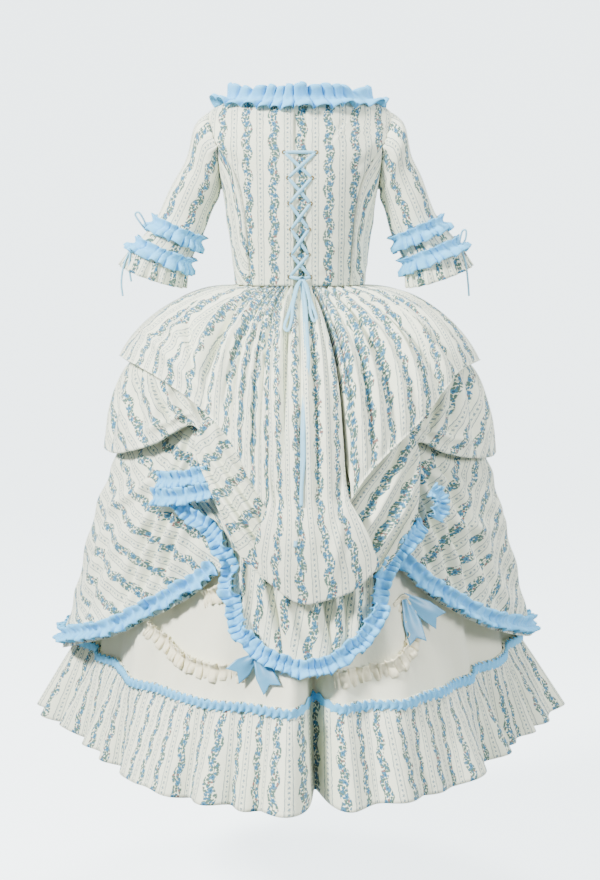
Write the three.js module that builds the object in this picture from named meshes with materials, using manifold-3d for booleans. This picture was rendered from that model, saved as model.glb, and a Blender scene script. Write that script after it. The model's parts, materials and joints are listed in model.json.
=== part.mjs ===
// Rococo dress with a laced back, a looped-up overskirt and a flounced petticoat, worn and hollow.
// Millimetres, +Z up. The origin is the middle of the shoulder line. The back faces -Y.
import * as THREE from "three";
import Module from "manifold-3d";

const wasm = await Module();
wasm.setup();

// Driving dimensions.
const CLOTH = 2;
const THIN = 1.2;
const SEAM_GAP = 0.3;
const WAIST_Z = -325;
const HEM_Z = -1250;
const RING_COLUMNS = 60;
const FLOUNCE_WAVES = 30;
const NECK_WAVES = 20;
const BAND_WAVES = 10;
const PLEAT = [0, 1, 0.4];
const RUFFLE_WIDTH = 34;
const NECK_RUFFLE_WIDTH = 48;
const EYELET_OUTER = 4.4;
const EYELET_HOLE = 2.2;
const HOLE_RADIUS = 2.6;
const LACE_WIDTH = 7;
const LACE_THICK = 1;

const COLOURS = {
  print: 0xe9e7da,
  cream: 0xf0ecda,
  blue: 0xa9d3f0,
  satin: 0x7dbbd6,
  lace: 0xa5d5e8,
  brass: 0x6b5836,
};
const ROUGHNESS = { print: 0.9, cream: 0.9, blue: 0.85, satin: 0.45, lace: 0.5, brass: 0.4 };

const group = new THREE.Group();

function material(kind) {
  return new THREE.MeshStandardMaterial({
    color: COLOURS[kind],
    roughness: ROUGHNESS[kind],
    metalness: kind === "brass" ? 0.9 : 0,
  });
}

function add(name, geometry, kind) {
  const mesh = new THREE.Mesh(geometry, material(kind));
  mesh.name = name;
  group.add(mesh);
  return mesh;
}

const rad = THREE.MathUtils.degToRad;
const lerp = THREE.MathUtils.lerp;
const smooth = THREE.MathUtils.smoothstep;
const V = (x, y, z) => new THREE.Vector3(x, y, z);

// One row of a table at a fractional index, through its named columns on a smooth curve.
function between(table, index) {
  const last = table.length - 1;
  const at = Math.min(Math.max(index, 0), last);
  const i = Math.min(Math.floor(at), last - 1);
  const f = at - i;
  const p = [table[Math.max(i - 1, 0)], table[i], table[i + 1], table[Math.min(i + 2, last)]];
  const row = {};
  for (const key of Object.keys(table[i])) {
    const [a, b, c, d] = p.map((r) => r[key]);
    const bend = (-a + 3 * b - 3 * c + d) * f ** 3 + (2 * a - 5 * b + 4 * c - d) * f ** 2;
    row[key] = 0.5 * (2 * b + (c - a) * f + bend);
  }
  return row;
}

// One row of a table at a fractional index, on straight lines.
function straight(table, index) {
  const last = table.length - 1;
  const at = Math.min(Math.max(index, 0), last);
  const i = Math.min(Math.floor(at), last - 1);
  const row = {};
  for (const key of Object.keys(table[i])) {
    row[key] = lerp(table[i][key], table[i + 1][key], at - i);
  }
  return row;
}

// The draped form of the skirt by levels: half width and height at the sides, depth and height
// at the back and at the front.
const DRAPE_FORM = [
  { wide: 135, wideZ: -325, back: 100, backZ: -325, front: 105, frontZ: -325 },
  { wide: 200, wideZ: -333, back: 155, backZ: -343, front: 125, frontZ: -350 },
  { wide: 262, wideZ: -358, back: 215, backZ: -372, front: 160, frontZ: -390 },
  { wide: 330, wideZ: -410, back: 280, backZ: -420, front: 200, frontZ: -440 },
  { wide: 378, wideZ: -475, back: 335, backZ: -488, front: 235, frontZ: -500 },
  { wide: 405, wideZ: -570, back: 380, backZ: -580, front: 270, frontZ: -580 },
  { wide: 424, wideZ: -680, back: 415, backZ: -690, front: 310, frontZ: -690 },
  { wide: 440, wideZ: -800, back: 445, backZ: -800, front: 350, frontZ: -800 },
  { wide: 465, wideZ: -950, back: 480, backZ: -950, front: 400, frontZ: -950 },
  { wide: 505, wideZ: -1080, back: 515, backZ: -1080, front: 450, frontZ: -1080 },
  { wide: 550, wideZ: -1250, back: 575, backZ: -1250, front: 500, frontZ: -1250 },
];

// The petticoat under it, from its waistband down to below the flounce's seam.
const PETTICOAT_FORM = [
  { wide: 131.8, wideZ: -312, back: 93.8, backZ: -312, front: 101.5, frontZ: -312 },
  { wide: 131.8, wideZ: -333, back: 93.8, backZ: -333, front: 101.5, frontZ: -333 },
  { wide: 238, wideZ: -430, back: 200, backZ: -430, front: 160, frontZ: -430 },
  { wide: 335, wideZ: -620, back: 318, backZ: -620, front: 235, frontZ: -620 },
  { wide: 380, wideZ: -860, back: 392, backZ: -860, front: 330, frontZ: -860 },
  { wide: 472, wideZ: -1096, back: 498, backZ: -1096, front: 442, frontZ: -1096 },
];
const SEAM_UP = 8;

// How the hem swings in and out round the dress: turn from the back centre, share of the radius.
const HEM_LOBES = [
  { turn: 0, share: 1.04 },
  { turn: 20, share: 0.98 },
  { turn: 35, share: 0.95 },
  { turn: 48, share: 0.88 },
  { turn: 62, share: 0.85 },
  { turn: 76, share: 0.88 },
  { turn: 90, share: 0.99 },
  { turn: 102, share: 1.04 },
  { turn: 125, share: 0.99 },
  { turn: 180, share: 0.97 },
];
const LOBES_FROM_Z = -780;
const BACK_FOLD = { turn: 4, half: 4, depth: 0.1 };

function hemLobe(turnDeg) {
  const turn = Math.abs(((turnDeg + 540) % 360) - 180);
  let i = 0;
  while (i < HEM_LOBES.length - 2 && HEM_LOBES[i + 1].turn < turn) i++;
  const a = HEM_LOBES[i];
  const b = HEM_LOBES[i + 1];
  const f = (turn - a.turn) / (b.turn - a.turn);
  const signed = ((turnDeg + 540) % 360) - 180;
  const fold = Math.exp(-(((signed - BACK_FOLD.turn) / BACK_FOLD.half) ** 2));
  return lerp(a.share, b.share, smooth(f, 0, 1)) - BACK_FOLD.depth * fold;
}

function ringPoint(row, turnDeg) {
  const s = Math.sin(rad(turnDeg));
  const c = Math.cos(rad(turnDeg));
  const depth = c > 0 ? row.back : row.front;
  const z = c > 0 ? row.backZ : row.frontZ;
  return V(row.wide * s, -depth * c, row.wideZ * s * s + z * c * c);
}

// A point on a form, moved out along its normal.
function onForm(form, turnDeg, level, out = 0) {
  const p = ringPoint(between(form, level), turnDeg);
  if (!out) return p;
  const step = 0.01;
  const last = form.length - 1;
  const du = ringPoint(between(form, level), turnDeg + 0.2);
  du.sub(ringPoint(between(form, level), turnDeg - 0.2));
  const dv = ringPoint(between(form, Math.min(level + step, last)), turnDeg);
  dv.sub(ringPoint(between(form, Math.max(level - step, 0)), turnDeg));
  const n = dv.cross(du).normalize();
  return p.addScaledVector(n, out);
}

// A grid of points: columns run to the right as seen from the back, rows run down.
function grid(columns, rows, at) {
  const points = [];
  for (let j = 0; j <= rows; j++) {
    const row = [];
    for (let i = 0; i <= columns; i++) row.push(at(i / columns, j / rows, i, j));
    points.push(row);
  }
  return points;
}

function normals(points, around) {
  const rows = points.length;
  const columns = points[0].length;
  return points.map((row, j) =>
    row.map((p, i) => {
      const left = around ? row[(i + columns - 1) % columns] : row[Math.max(i - 1, 0)];
      const right = around ? row[(i + 1) % columns] : row[Math.min(i + 1, columns - 1)];
      const up = points[Math.max(j - 1, 0)][i];
      const down = points[Math.min(j + 1, rows - 1)][i];
      const du = right.clone().sub(left);
      const dv = down.clone().sub(up);
      return dv.cross(du).normalize();
    }),
  );
}

// A closed wall of cloth: the grid is its outer face, and its thickness goes inwards.
function wall(points, thick, around = false, facing = null) {
  const faced = Array.isArray(facing) ? facing : facing && points.map((row) => row.map(facing));
  const n = faced ?? normals(points, around);
  const rows = points.length;
  const columns = points[0].length;
  const at = [];
  points.forEach((row) => row.forEach((p) => at.push(p)));
  points.forEach((row, j) =>
    row.forEach((p, i) => at.push(p.clone().addScaledVector(n[j][i], -thick))),
  );
  const outer = (j, i) => j * columns + (i % columns);
  const inner = (j, i) => rows * columns + outer(j, i);
  const index = [];
  const quad = (a, b, c, d) => index.push(a, b, c, a, c, d);
  const spans = around ? columns : columns - 1;
  for (let j = 0; j < rows - 1; j++) {
    for (let i = 0; i < spans; i++) {
      quad(outer(j, i), outer(j + 1, i), outer(j + 1, i + 1), outer(j, i + 1));
      quad(inner(j, i), inner(j, i + 1), inner(j + 1, i + 1), inner(j + 1, i));
    }
  }
  for (let i = 0; i < spans; i++) {
    quad(outer(0, i), outer(0, i + 1), inner(0, i + 1), inner(0, i));
    const e = rows - 1;
    quad(outer(e, i), inner(e, i), inner(e, i + 1), outer(e, i + 1));
  }
  if (!around) {
    const e = columns - 1;
    for (let j = 0; j < rows - 1; j++) {
      quad(outer(j, 0), inner(j, 0), inner(j + 1, 0), outer(j + 1, 0));
      quad(outer(j, e), outer(j + 1, e), inner(j + 1, e), inner(j, e));
    }
  }
  return solid(at, index);
}

// A geometry from points and triangles, turned so that its faces look out.
function solid(at, index) {
  let volume = 0;
  for (let k = 0; k < index.length; k += 3) {
    volume += at[index[k]].dot(at[index[k + 1]].clone().cross(at[index[k + 2]]));
  }
  if (volume < 0) {
    for (let k = 0; k < index.length; k += 3) {
      [index[k + 1], index[k + 2]] = [index[k + 2], index[k + 1]];
    }
  }
  const geometry = new THREE.BufferGeometry().setFromPoints(at);
  geometry.setIndex(index);
  geometry.computeVertexNormals();
  return geometry;
}

function toManifold(geometry) {
  return new wasm.Manifold(
    new wasm.Mesh({
      numProp: 3,
      vertProperties: new Float32Array(geometry.attributes.position.array),
      triVerts: new Uint32Array(geometry.index.array),
    }),
  );
}

function fromManifold(made) {
  const mesh = made.getMesh();
  const geometry = new THREE.BufferGeometry();
  geometry.setAttribute("position", new THREE.BufferAttribute(mesh.vertProperties, 3));
  geometry.setIndex(new THREE.BufferAttribute(mesh.triVerts, 1));
  geometry.computeVertexNormals();
  return geometry;
}

function joined(geometries) {
  return fromManifold(geometries.map(toManifold).reduce((a, b) => a.add(b)));
}

// The exact point and normal of a grid's facets.
function onFacets(points, u, v, out = 0) {
  const rows = points.length - 1;
  const columns = points[0].length - 1;
  const x = Math.min(Math.max(u, 0), 1) * columns;
  const y = Math.min(Math.max(v, 0), 1) * rows;
  const i = Math.min(Math.floor(x), columns - 1);
  const j = Math.min(Math.floor(y), rows - 1);
  const fx = x - i;
  const fy = y - j;
  const a = points[j][i];
  const b = points[j + 1][i];
  const c = points[j + 1][i + 1];
  const d = points[j][i + 1];
  const p = a.clone();
  const n = V(0, 0, 0);
  if (fy > fx) {
    p.addScaledVector(b.clone().sub(a), fy).addScaledVector(c.clone().sub(b), fx);
    n.copy(b.clone().sub(a).cross(c.clone().sub(b)));
  } else {
    p.addScaledVector(d.clone().sub(a), fx).addScaledVector(c.clone().sub(d), fy);
    n.copy(c.clone().sub(d).cross(d.clone().sub(a)));
  }
  n.normalize();
  return { point: p.addScaledVector(n, out), normal: n };
}

// A ruffle stitched through its middle: path gives the stitched line, its way out and its way
// down. Both edges stand off in waves.
function ruffle(path, { waves, width, rise, lift, around = false, upper = 0.5 }) {
  const steps = waves * PLEAT.length;
  const heights = [-upper, 0, 1 - upper];
  const points = heights.map((h, j) => {
    const row = [];
    const count = around ? steps : steps + 1;
    for (let k = 0; k < count; k++) {
      const at = path(k / steps);
      const stand = j === 1 ? 0 : rise * PLEAT[(k + j) % PLEAT.length];
      const p = at.point.clone().addScaledVector(at.down, h * width);
      row.push(p.addScaledVector(at.out, lift + THIN + stand));
    }
    return row;
  });
  return wall(points, THIN, around);
}

// A flat strip along a route: a loft of rectangles, with the width along the given sides.
function strip(stations, width, thick) {
  const at = [];
  const index = [];
  const quad = (a, b, c, d) => index.push(a, b, c, a, c, d);
  stations.forEach(({ point, side, out, share = 1 }) => {
    const w = (width * share) / 2;
    at.push(point.clone().addScaledVector(side, -w));
    at.push(point.clone().addScaledVector(side, w));
    at.push(point.clone().addScaledVector(side, w).addScaledVector(out, thick));
    at.push(point.clone().addScaledVector(side, -w).addScaledVector(out, thick));
  });
  const last = (stations.length - 1) * 4;
  for (let k = 0; k < last; k += 4) {
    for (let e = 0; e < 4; e++) {
      const f = (e + 1) % 4;
      quad(k + e, k + f, k + 4 + f, k + 4 + e);
    }
  }
  quad(3, 2, 1, 0);
  quad(last, last + 1, last + 2, last + 3);
  return solid(at, index);
}

// Bodice. Rows of the back panel from the neckline to the waist: the centre edge and the outer
// edge, which is shoulder seam, armhole and side-back seam in turn.
const BACK_ROWS = [
  { y: -72, z: 53, outX: 147, outY: -1, outZ: 51, bend: 88 },
  { y: -84, z: 22, outX: 188, outY: -1, outZ: 27, bend: 76 },
  { y: -96, z: -12, outX: 181, outY: -34, outZ: -6, bend: 62 },
  { y: -103, z: -48, outX: 167, outY: -58, outZ: -45, bend: 55 },
  { y: -108, z: -86, outX: 139, outY: -72, outZ: -85, bend: 50 },
  { y: -111, z: -130, outX: 121, outY: -76, outZ: -130, bend: 50 },
  { y: -111, z: -190, outX: 111, outY: -77, outZ: -190, bend: 48 },
  { y: -106, z: -258, outX: 105, outY: -72, outZ: -258, bend: 49 },
  { y: -100, z: WAIST_Z, outX: 102, outY: -65.5, outZ: WAIST_Z, bend: 49 },
];
const FRONT_ROWS = [
  { y: 84, z: -42, outX: 147, outY: 1, outZ: 51, bend: 88 },
  { y: 94, z: -52, outX: 188, outY: 1, outZ: 27, bend: 76 },
  { y: 103, z: -62, outX: 181, outY: 34, outZ: -6, bend: 62 },
  { y: 112, z: -76, outX: 167, outY: 58, outZ: -45, bend: 55 },
  { y: 120, z: -98, outX: 141, outY: 76, outZ: -85, bend: 50 },
  { y: 123, z: -134, outX: 123, outY: 82, outZ: -130, bend: 50 },
  { y: 118, z: -190, outX: 112, outY: 82, outZ: -190, bend: 48 },
  { y: 111, z: -258, outX: 105, outY: 76, outZ: -258, bend: 49 },
  { y: 105, z: WAIST_Z, outX: 102, outY: 68.7, outZ: WAIST_Z, bend: 49 },
];
const PANEL_COLUMNS = 6;
const SIDE_COLUMNS = 8;
const BACK_EDGE_X = 13;

// A point of a bodice panel: the row bends from its centre edge to its outer edge.
function bodicePoint(row, u, centreX) {
  const full = rad(row.bend);
  const a = u * full;
  const x = lerp(centreX, row.outX, Math.sin(a) / Math.sin(full));
  const drop = (1 - Math.cos(a)) / (1 - Math.cos(full));
  return V(x, lerp(row.y, row.outY, drop), lerp(row.z, row.outZ, drop ** 1.5));
}

// Which way the bodice faces at a point, the same for both pieces of a seam.
function bodiceFacing(p) {
  const body = V(p.x / 168 ** 2, p.y / 110 ** 2, 0).normalize();
  const top = smooth(p.z, -60, 25) * Math.max(1 - Math.abs(p.y) / 70, 0);
  return body.lerp(V(0.3 * Math.sign(p.x), 0, 1), top).normalize();
}

function backPanelGrid(sign) {
  return grid(PANEL_COLUMNS, BACK_ROWS.length - 1, (u, v, i, j) => {
    const along = sign > 0 ? u : 1 - u;
    const p = bodicePoint(BACK_ROWS[j], along, BACK_EDGE_X);
    p.x *= sign;
    return p;
  });
}

const frontGrid = grid(PANEL_COLUMNS * 2, FRONT_ROWS.length - 1, (u, v, i, j) => {
  const side = 1 - 2 * u;
  const p = bodicePoint(FRONT_ROWS[j], Math.abs(side), 0);
  p.x *= Math.sign(side);
  return p;
});

// The side panel runs under the armhole, between the side-back and the side-front seams.
const TORSO_SIDES = [
  { z: -45, wide: 168 },
  { z: -130, wide: 160 },
  { z: -190, wide: 152 },
  { z: -258, wide: 143 },
  { z: WAIST_Z, wide: 135 },
];
const UNDERARM_Z = -130;
const SIDE_SEAM_TURN = 49;
const SEAM_TOP_ROW = 3;

function torsoWide(z) {
  let i = 0;
  while (i < TORSO_SIDES.length - 2 && TORSO_SIDES[i + 1].z > z) i++;
  const a = TORSO_SIDES[i];
  const b = TORSO_SIDES[i + 1];
  return lerp(a.wide, b.wide, (z - a.z) / (b.z - a.z));
}

function sideGrid(sign) {
  const rows = BACK_ROWS.length - 1 - SEAM_TOP_ROW;
  return grid(SIDE_COLUMNS, rows, (u, v, i, j) => {
    const toFront = sign > 0 ? u : 1 - u;
    const back = BACK_ROWS[SEAM_TOP_ROW + j];
    const front = FRONT_ROWS[SEAM_TOP_ROW + j];
    const topZ = lerp(UNDERARM_Z, back.outZ, (2 * toFront - 1) ** 2);
    const z = lerp(topZ, WAIST_Z, (back.outZ - BACK_ROWS[SEAM_TOP_ROW].outZ) /
      (WAIST_Z - BACK_ROWS[SEAM_TOP_ROW].outZ));
    const seamZ = lerp(z, lerp(back.outZ, front.outZ, toFront), (2 * toFront - 1) ** 8);
    const turn = rad(lerp(SIDE_SEAM_TURN, 180 - SIDE_SEAM_TURN, toFront));
    const start = Math.sin(rad(SIDE_SEAM_TURN));
    const arc = (Math.sin(turn) - start) / (1 - start);
    const seamX = lerp(back.outX, front.outX, toFront);
    const x = seamX + (torsoWide(seamZ) - seamX) * arc;
    const share = Math.cos(turn) / Math.cos(rad(SIDE_SEAM_TURN));
    const y = share > 0 ? back.outY * share : -front.outY * share;
    return V(sign * x, y, j === 0 ? topZ : seamZ);
  });
}

// Moves the edge columns of a grid apart so that neighbours stay a seam gap apart.
function trimmed(points, left, right) {
  return points.map((row) => {
    const last = row.length - 1;
    const first = row[0].clone();
    const second = row[last].clone();
    if (left) first.add(row[1].clone().sub(row[0]).setLength(SEAM_GAP / 2));
    if (right) second.add(row[last - 1].clone().sub(row[last]).setLength(SEAM_GAP / 2));
    return [first, ...row.slice(1, last), second];
  });
}

const BACK_GRIDS = { left: backPanelGrid(-1), right: backPanelGrid(1) };
const SIDE_GRIDS = { left: sideGrid(-1), right: sideGrid(1) };

function bodiceWall(points, left, right) {
  return wall(trimmed(points, left, right), CLOTH, false, bodiceFacing);
}

// Eyelets in each back panel, from the top pair down to the waist.
const EYELET_Z = [-58, -109, -160, -211, -261, -307];
const EYELET_SPREAD = [32, 24, 21, 18, 17.5, 21];

function bodicePanelAt(sign, x, z) {
  const rows = BACK_ROWS.length - 1;
  let best = { d: Infinity };
  const points = BACK_GRIDS[sign > 0 ? "right" : "left"];
  for (let j = 0; j <= rows * 20; j++) {
    for (let i = 0; i <= PANEL_COLUMNS * 20; i++) {
      const u = i / (PANEL_COLUMNS * 20);
      const v = j / (rows * 20);
      const at = onFacets(points, u, v);
      const d = Math.hypot(at.point.x - x, at.point.z - z);
      if (d < best.d) best = { d, ...at };
    }
  }
  return best;
}

const eyelets = [];
EYELET_Z.forEach((z, k) => {
  for (const side of ["left", "right"]) {
    const sign = side === "right" ? 1 : -1;
    const at = bodicePanelAt(sign, sign * EYELET_SPREAD[k], z);
    eyelets.push({ side, k, sign, point: at.point, normal: at.normal });
  }
});

const toNormal = (n) => new THREE.Quaternion().setFromUnitVectors(V(0, 1, 0), n);

function eyeletGeometry({ point, normal }) {
  const flange = 0.9;
  const profile = [
    [EYELET_HOLE, SEAM_GAP],
    [EYELET_OUTER, SEAM_GAP],
    [EYELET_OUTER - 0.6, SEAM_GAP + flange],
    [EYELET_HOLE, SEAM_GAP + flange],
    [EYELET_HOLE, SEAM_GAP],
  ].map(([r, y]) => new THREE.Vector2(r, y));
  const lathe = new THREE.LatheGeometry(profile, 7);
  lathe.applyQuaternion(toNormal(normal));
  lathe.translate(point.x, point.y, point.z);
  return lathe;
}

function withHoles(geometry, sign) {
  let made = toManifold(geometry);
  for (const { point, normal, sign: own } of eyelets) {
    if (own !== sign) continue;
    const pin = new THREE.CylinderGeometry(HOLE_RADIUS, HOLE_RADIUS, 16, 6);
    pin.applyQuaternion(toNormal(normal));
    pin.translate(point.x, point.y, point.z);
    const merged = weld(pin);
    made = made.subtract(toManifold(merged));
  }
  return fromManifold(made);
}

// Points that coincide become one, so that a standard geometry is closed.
function weld(geometry) {
  const position = geometry.attributes.position;
  const index = geometry.index;
  const keys = new Map();
  const at = [];
  const map = [];
  for (let k = 0; k < position.count; k++) {
    const p = V(position.getX(k), position.getY(k), position.getZ(k));
    const key = [p.x, p.y, p.z].map((c) => c.toFixed(4)).join();
    if (!keys.has(key)) {
      keys.set(key, at.length);
      at.push(p);
    }
    map.push(keys.get(key));
  }
  const faces = [];
  for (let k = 0; k < index.count; k += 3) {
    const [a, b, c] = [0, 1, 2].map((m) => map[index.getX(k + m)]);
    if (a !== b && b !== c && c !== a) faces.push(a, b, c);
  }
  return solid(at, faces);
}

add("bodice_back_left", withHoles(bodiceWall(BACK_GRIDS.left, true, false), -1), "print");
add("bodice_back_right", withHoles(bodiceWall(BACK_GRIDS.right, false, true), 1), "print");
add("bodice_side_left", bodiceWall(SIDE_GRIDS.left, true, true), "print");
add("bodice_side_right", bodiceWall(SIDE_GRIDS.right, true, true), "print");
add("bodice_front", bodiceWall(frontGrid, true, true), "print");

eyelets.forEach((eyelet) => {
  add(`eyelet_${eyelet.side}_${eyelet.k + 1}`, weld(eyeletGeometry(eyelet)), "brass");
});

// The panel behind the lacing lies inside the back panels.
const MODESTY_HALF = 46;
const MODESTY_IN = CLOTH + 0.9;
const modestyGrid = grid(6, BACK_ROWS.length - 1, (u, v, i, j) => {
  const row = BACK_ROWS[j];
  const x = (2 * u - 1) * MODESTY_HALF;
  const along = Math.max(Math.abs(x) - BACK_EDGE_X, 0) / (row.outX - BACK_EDGE_X);
  const a = Math.asin(Math.min(along * Math.sin(rad(row.bend)), 1));
  const drop = (1 - Math.cos(a)) / (1 - Math.cos(rad(row.bend)));
  const z = lerp(row.z, row.outZ, drop ** 1.5);
  return V(x, lerp(row.y, row.outY, drop) + MODESTY_IN, z - (j === 0 ? 4 : 0));
});
add("lacing_modesty_panel", wall(modestyGrid, 1.5), "print");

// Sleeves: the top ring follows the armhole, and sections run down to the lower band.
const SLEEVE_SECTIONS = [
  { x: 190, z: -64, half: 71, depth: 60, tilt: 69 },
  { x: 201, z: -104, half: 54, depth: 56, tilt: 53 },
  { x: 214, z: -136, half: 50, depth: 53, tilt: 40 },
  { x: 231, z: -174, half: 50, depth: 52, tilt: 29 },
  { x: 252, z: -218, half: 52, depth: 53, tilt: 22 },
  { x: 283, z: -268, half: 61, depth: 60, tilt: 20 },
];
const CUFF_HEM = { x: 299, z: -308, half: 70, depth: 70, tilt: 19, sag: 6 };
const SLEEVE_SPREAD = { left: 8, right: -7 };
const OVERARM = 4;
const UNDERARM = 9 + Math.floor((SIDE_GRIDS.right[0].length - 2) / 2);
const UPPER_BAND = 3.95;
const LOWER_BAND = 4.8;

function mirrored(points) {
  return points.map((row) => row.map((p) => V(-p.x, p.y, p.z)).reverse());
}

const sectionSpread = (side, index) => (SLEEVE_SPREAD[side] * index) / SLEEVE_SECTIONS.length;

function sectionPoint(s, angle, spread, out = 0) {
  const t = rad(s.tilt);
  const up = V(Math.cos(t), 0, Math.sin(t));
  const back = V(0, -1, -(s.sag ?? 0) / s.depth);
  const p = V(s.x + spread, 0, s.z);
  p.addScaledVector(back, (s.depth + out) * Math.cos(angle));
  return p.addScaledVector(up, (s.half + out) * Math.sin(angle));
}

function armhole() {
  const mid = (a, b) => a.clone().lerp(b, 0.5);
  const edge = (row) => V(row.outX, row.outY, row.outZ);
  const top = V(BACK_ROWS[1].outX, 0, BACK_ROWS[1].outZ);
  const back = [edge(BACK_ROWS[3]), edge(BACK_ROWS[2])];
  const front = [edge(FRONT_ROWS[2]), edge(FRONT_ROWS[3])];
  const over = [back[0], mid(...back), back[1], mid(back[1], top), top, mid(top, front[0]),
    front[0], mid(...front), front[1]];
  const under = SIDE_GRIDS.right[0].slice(1, -1).reverse();
  return [...over, ...under];
}

function sleeveGrid(side) {
  const ring = armhole();
  const count = ring.length;
  const lengths = ring.map((p, i) => p.distanceTo(ring[(i + count - 1) % count]));
  lengths[0] = 0;
  const whole = lengths.reduce((a, b) => a + b) + ring[0].distanceTo(ring[count - 1]);
  let run = 0;
  const angles = lengths.map((d) => ((run += d) / whole) * 2 * Math.PI);
  const away = V(0.97, 0, 0.24);
  const points = [ring.map((p) => p.clone().addScaledVector(away, CLOTH * 0.3))];
  SLEEVE_SECTIONS.forEach((s, k) => {
    points.push(angles.map((a) => sectionPoint(s, a, sectionSpread(side, k))));
  });
  return points;
}

// A ruffle round the sleeve, stitched a third of the way down and following the sleeve's slope.
function band(side, at, waves, stand) {
  const point = (index, angle) => (
    sectionPoint(between(SLEEVE_SECTIONS, index), angle, sectionSpread(side, index))
  );
  const reach = 0.4;
  const end = SLEEVE_SECTIONS.length - 1;
  const steps = waves * PLEAT.length;
  return [-0.36, 0, 0.64].map((h, j) => {
    const row = [];
    for (let k = 0; k < steps; k++) {
      const angle = (k / steps) * 2 * Math.PI;
      const here = point(at, angle);
      const low = h < 0 ? point(at - reach, angle) : point(Math.min(at + reach, end), angle);
      const down = low.sub(here).multiplyScalar(h < 0 ? -1 : 1).normalize();
      const s = between(SLEEVE_SECTIONS, at);
      const out = here.clone().sub(V(s.x + sectionSpread(side, at), 0, s.z)).normalize();
      const pleat = j === 1 ? 0 : (j === 2 ? stand : 1) + 6 * PLEAT[(k + j) % PLEAT.length];
      const p = here.addScaledVector(down, h * RUFFLE_WIDTH);
      row.push(p.addScaledVector(out, 2 * SEAM_GAP + THIN + pleat));
    }
    return row;
  });
}

function cuffGrid(side, sleeve) {
  const last = sleeve[sleeve.length - 1];
  const top = last;
  const centre = V(0, 0, 0);
  top.forEach((p) => centre.addScaledVector(p, 1 / top.length));
  const count = top.length * 2;
  const spread = sectionSpread(side, SLEEVE_SECTIONS.length);
  return [0, 1].map((v) => {
    const row = [];
    for (let k = 0; k < count; k++) {
      const a = top[Math.floor(k / 2) % top.length];
      const b = top[Math.floor((k + 1) / 2) % top.length];
      const p = a.clone().add(b).multiplyScalar(0.5);
      const out = p.clone().sub(centre).normalize();
      p.addScaledVector(out, SEAM_GAP + THIN + 0.2);
      const hem = sectionPoint(CUFF_HEM, (k / count) * 2 * Math.PI, spread, 4 * Math.sin((k * Math.PI) / 2));
      row.push(p.lerp(hem, v));
    }
    return row;
  });
}

// One piece of a sleeve, from one column of its ring round to another, set back at its two seams.
function sleevePiece(points, from, to) {
  const columns = points[0].length;
  const count = ((to - from + columns) % columns) + 1;
  const pick = (rows) => rows.map((row) => (
    Array.from({ length: count }, (unused, k) => row[(from + k) % columns].clone())
  ));
  const piece = pick(points);
  const facing = pick(normals(points, true));
  const back = 0.55 * SEAM_GAP;
  for (const row of piece) {
    const first = row[1].clone().sub(row[0]).normalize();
    const last = row[count - 2].clone().sub(row[count - 1]).normalize();
    row[0].addScaledVector(first, back);
    row[count - 1].addScaledVector(last, back);
  }
  return wall(piece, CLOTH, false, facing);
}

for (const side of ["left", "right"]) {
  const place = (points) => (side === "left" ? mirrored(points) : points);
  const sleeve = sleeveGrid(side);
  const ring = sleeve[0].length;
  const over = side === "left" ? ring - 1 - OVERARM : OVERARM;
  const under = side === "left" ? ring - 1 - UNDERARM : UNDERARM;
  const [backFrom, backTo] = side === "left" ? [over, under] : [under, over];
  add(`sleeve_${side}`, sleevePiece(place(sleeve), backFrom, backTo), "print");
  add(`sleeve_front_${side}`, sleevePiece(place(sleeve), backTo, backFrom), "print");
  add(`sleeve_ruffle_upper_${side}`, wall(place(band(side, UPPER_BAND, BAND_WAVES, 1.5)), THIN, true), "blue");
  add(`sleeve_ruffle_lower_${side}`, wall(place(band(side, LOWER_BAND, BAND_WAVES, 6)), THIN, true), "blue");
  add(`cuff_flounce_${side}`, wall(place(cuffGrid(side, sleeve)), THIN, true), "print");
}

// The ruffle round the neckline.
function necklinePath(q) {
  const turn = q * 2 * Math.PI;
  const c = Math.cos(turn);
  const rows = c > 0 ? BACK_ROWS : FRONT_ROWS;
  const drop = 1 - Math.abs(c);
  const at = (row) => V(
    row.outX * Math.sin(turn),
    lerp(row.y, row.outY, drop),
    lerp(row.z, row.outZ, drop ** 1.5),
  );
  const point = at(rows[0]);
  const down = at(rows[1]).sub(point).normalize();
  const along = V(rows[0].outX * c, Math.abs(rows[0].y) * Math.sin(turn), 0).normalize();
  const out = down.clone().cross(along).normalize();
  point.addScaledVector(down, 4);
  return { point, out, down };
}
add("neck_ruffle", ruffle(necklinePath, {
  waves: NECK_WAVES, width: NECK_RUFFLE_WIDTH, rise: 8, lift: 3.6, around: true,
}), "blue");

// Petticoat with soft folds. Its flounce has a heading above the gathering line.
const PETTICOAT_FOLDS = 15;
const PETTICOAT_FOLD_DEPTH = 5;

function petticoatRing(level) {
  const row = [];
  for (let k = 0; k < RING_COLUMNS; k++) {
    const turn = (k * 360) / RING_COLUMNS;
    const p = onForm(PETTICOAT_FORM, turn, level);
    const free = smooth(-p.z, 360, 900);
    const share = lerp(1, hemLobe(turn), smooth(-p.z, -LOBES_FROM_Z, -HEM_Z));
    const fold = PETTICOAT_FOLD_DEPTH * free * Math.cos((k * 2 * Math.PI * PETTICOAT_FOLDS) / RING_COLUMNS);
    const r = Math.hypot(p.x, p.y);
    const scale = share + fold / r;
    row.push(V(p.x * scale, p.y * scale, p.z));
  }
  return row;
}
const petticoatGrid = PETTICOAT_FORM.map((row, level) => petticoatRing(level));
add("petticoat", wall(petticoatGrid, THIN, true), "cream");

const HEADING = 14;
const PETTICOAT_END_Z = PETTICOAT_FORM[PETTICOAT_FORM.length - 1].wideZ;
const GATHER_Z = PETTICOAT_END_Z + SEAM_UP;

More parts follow.
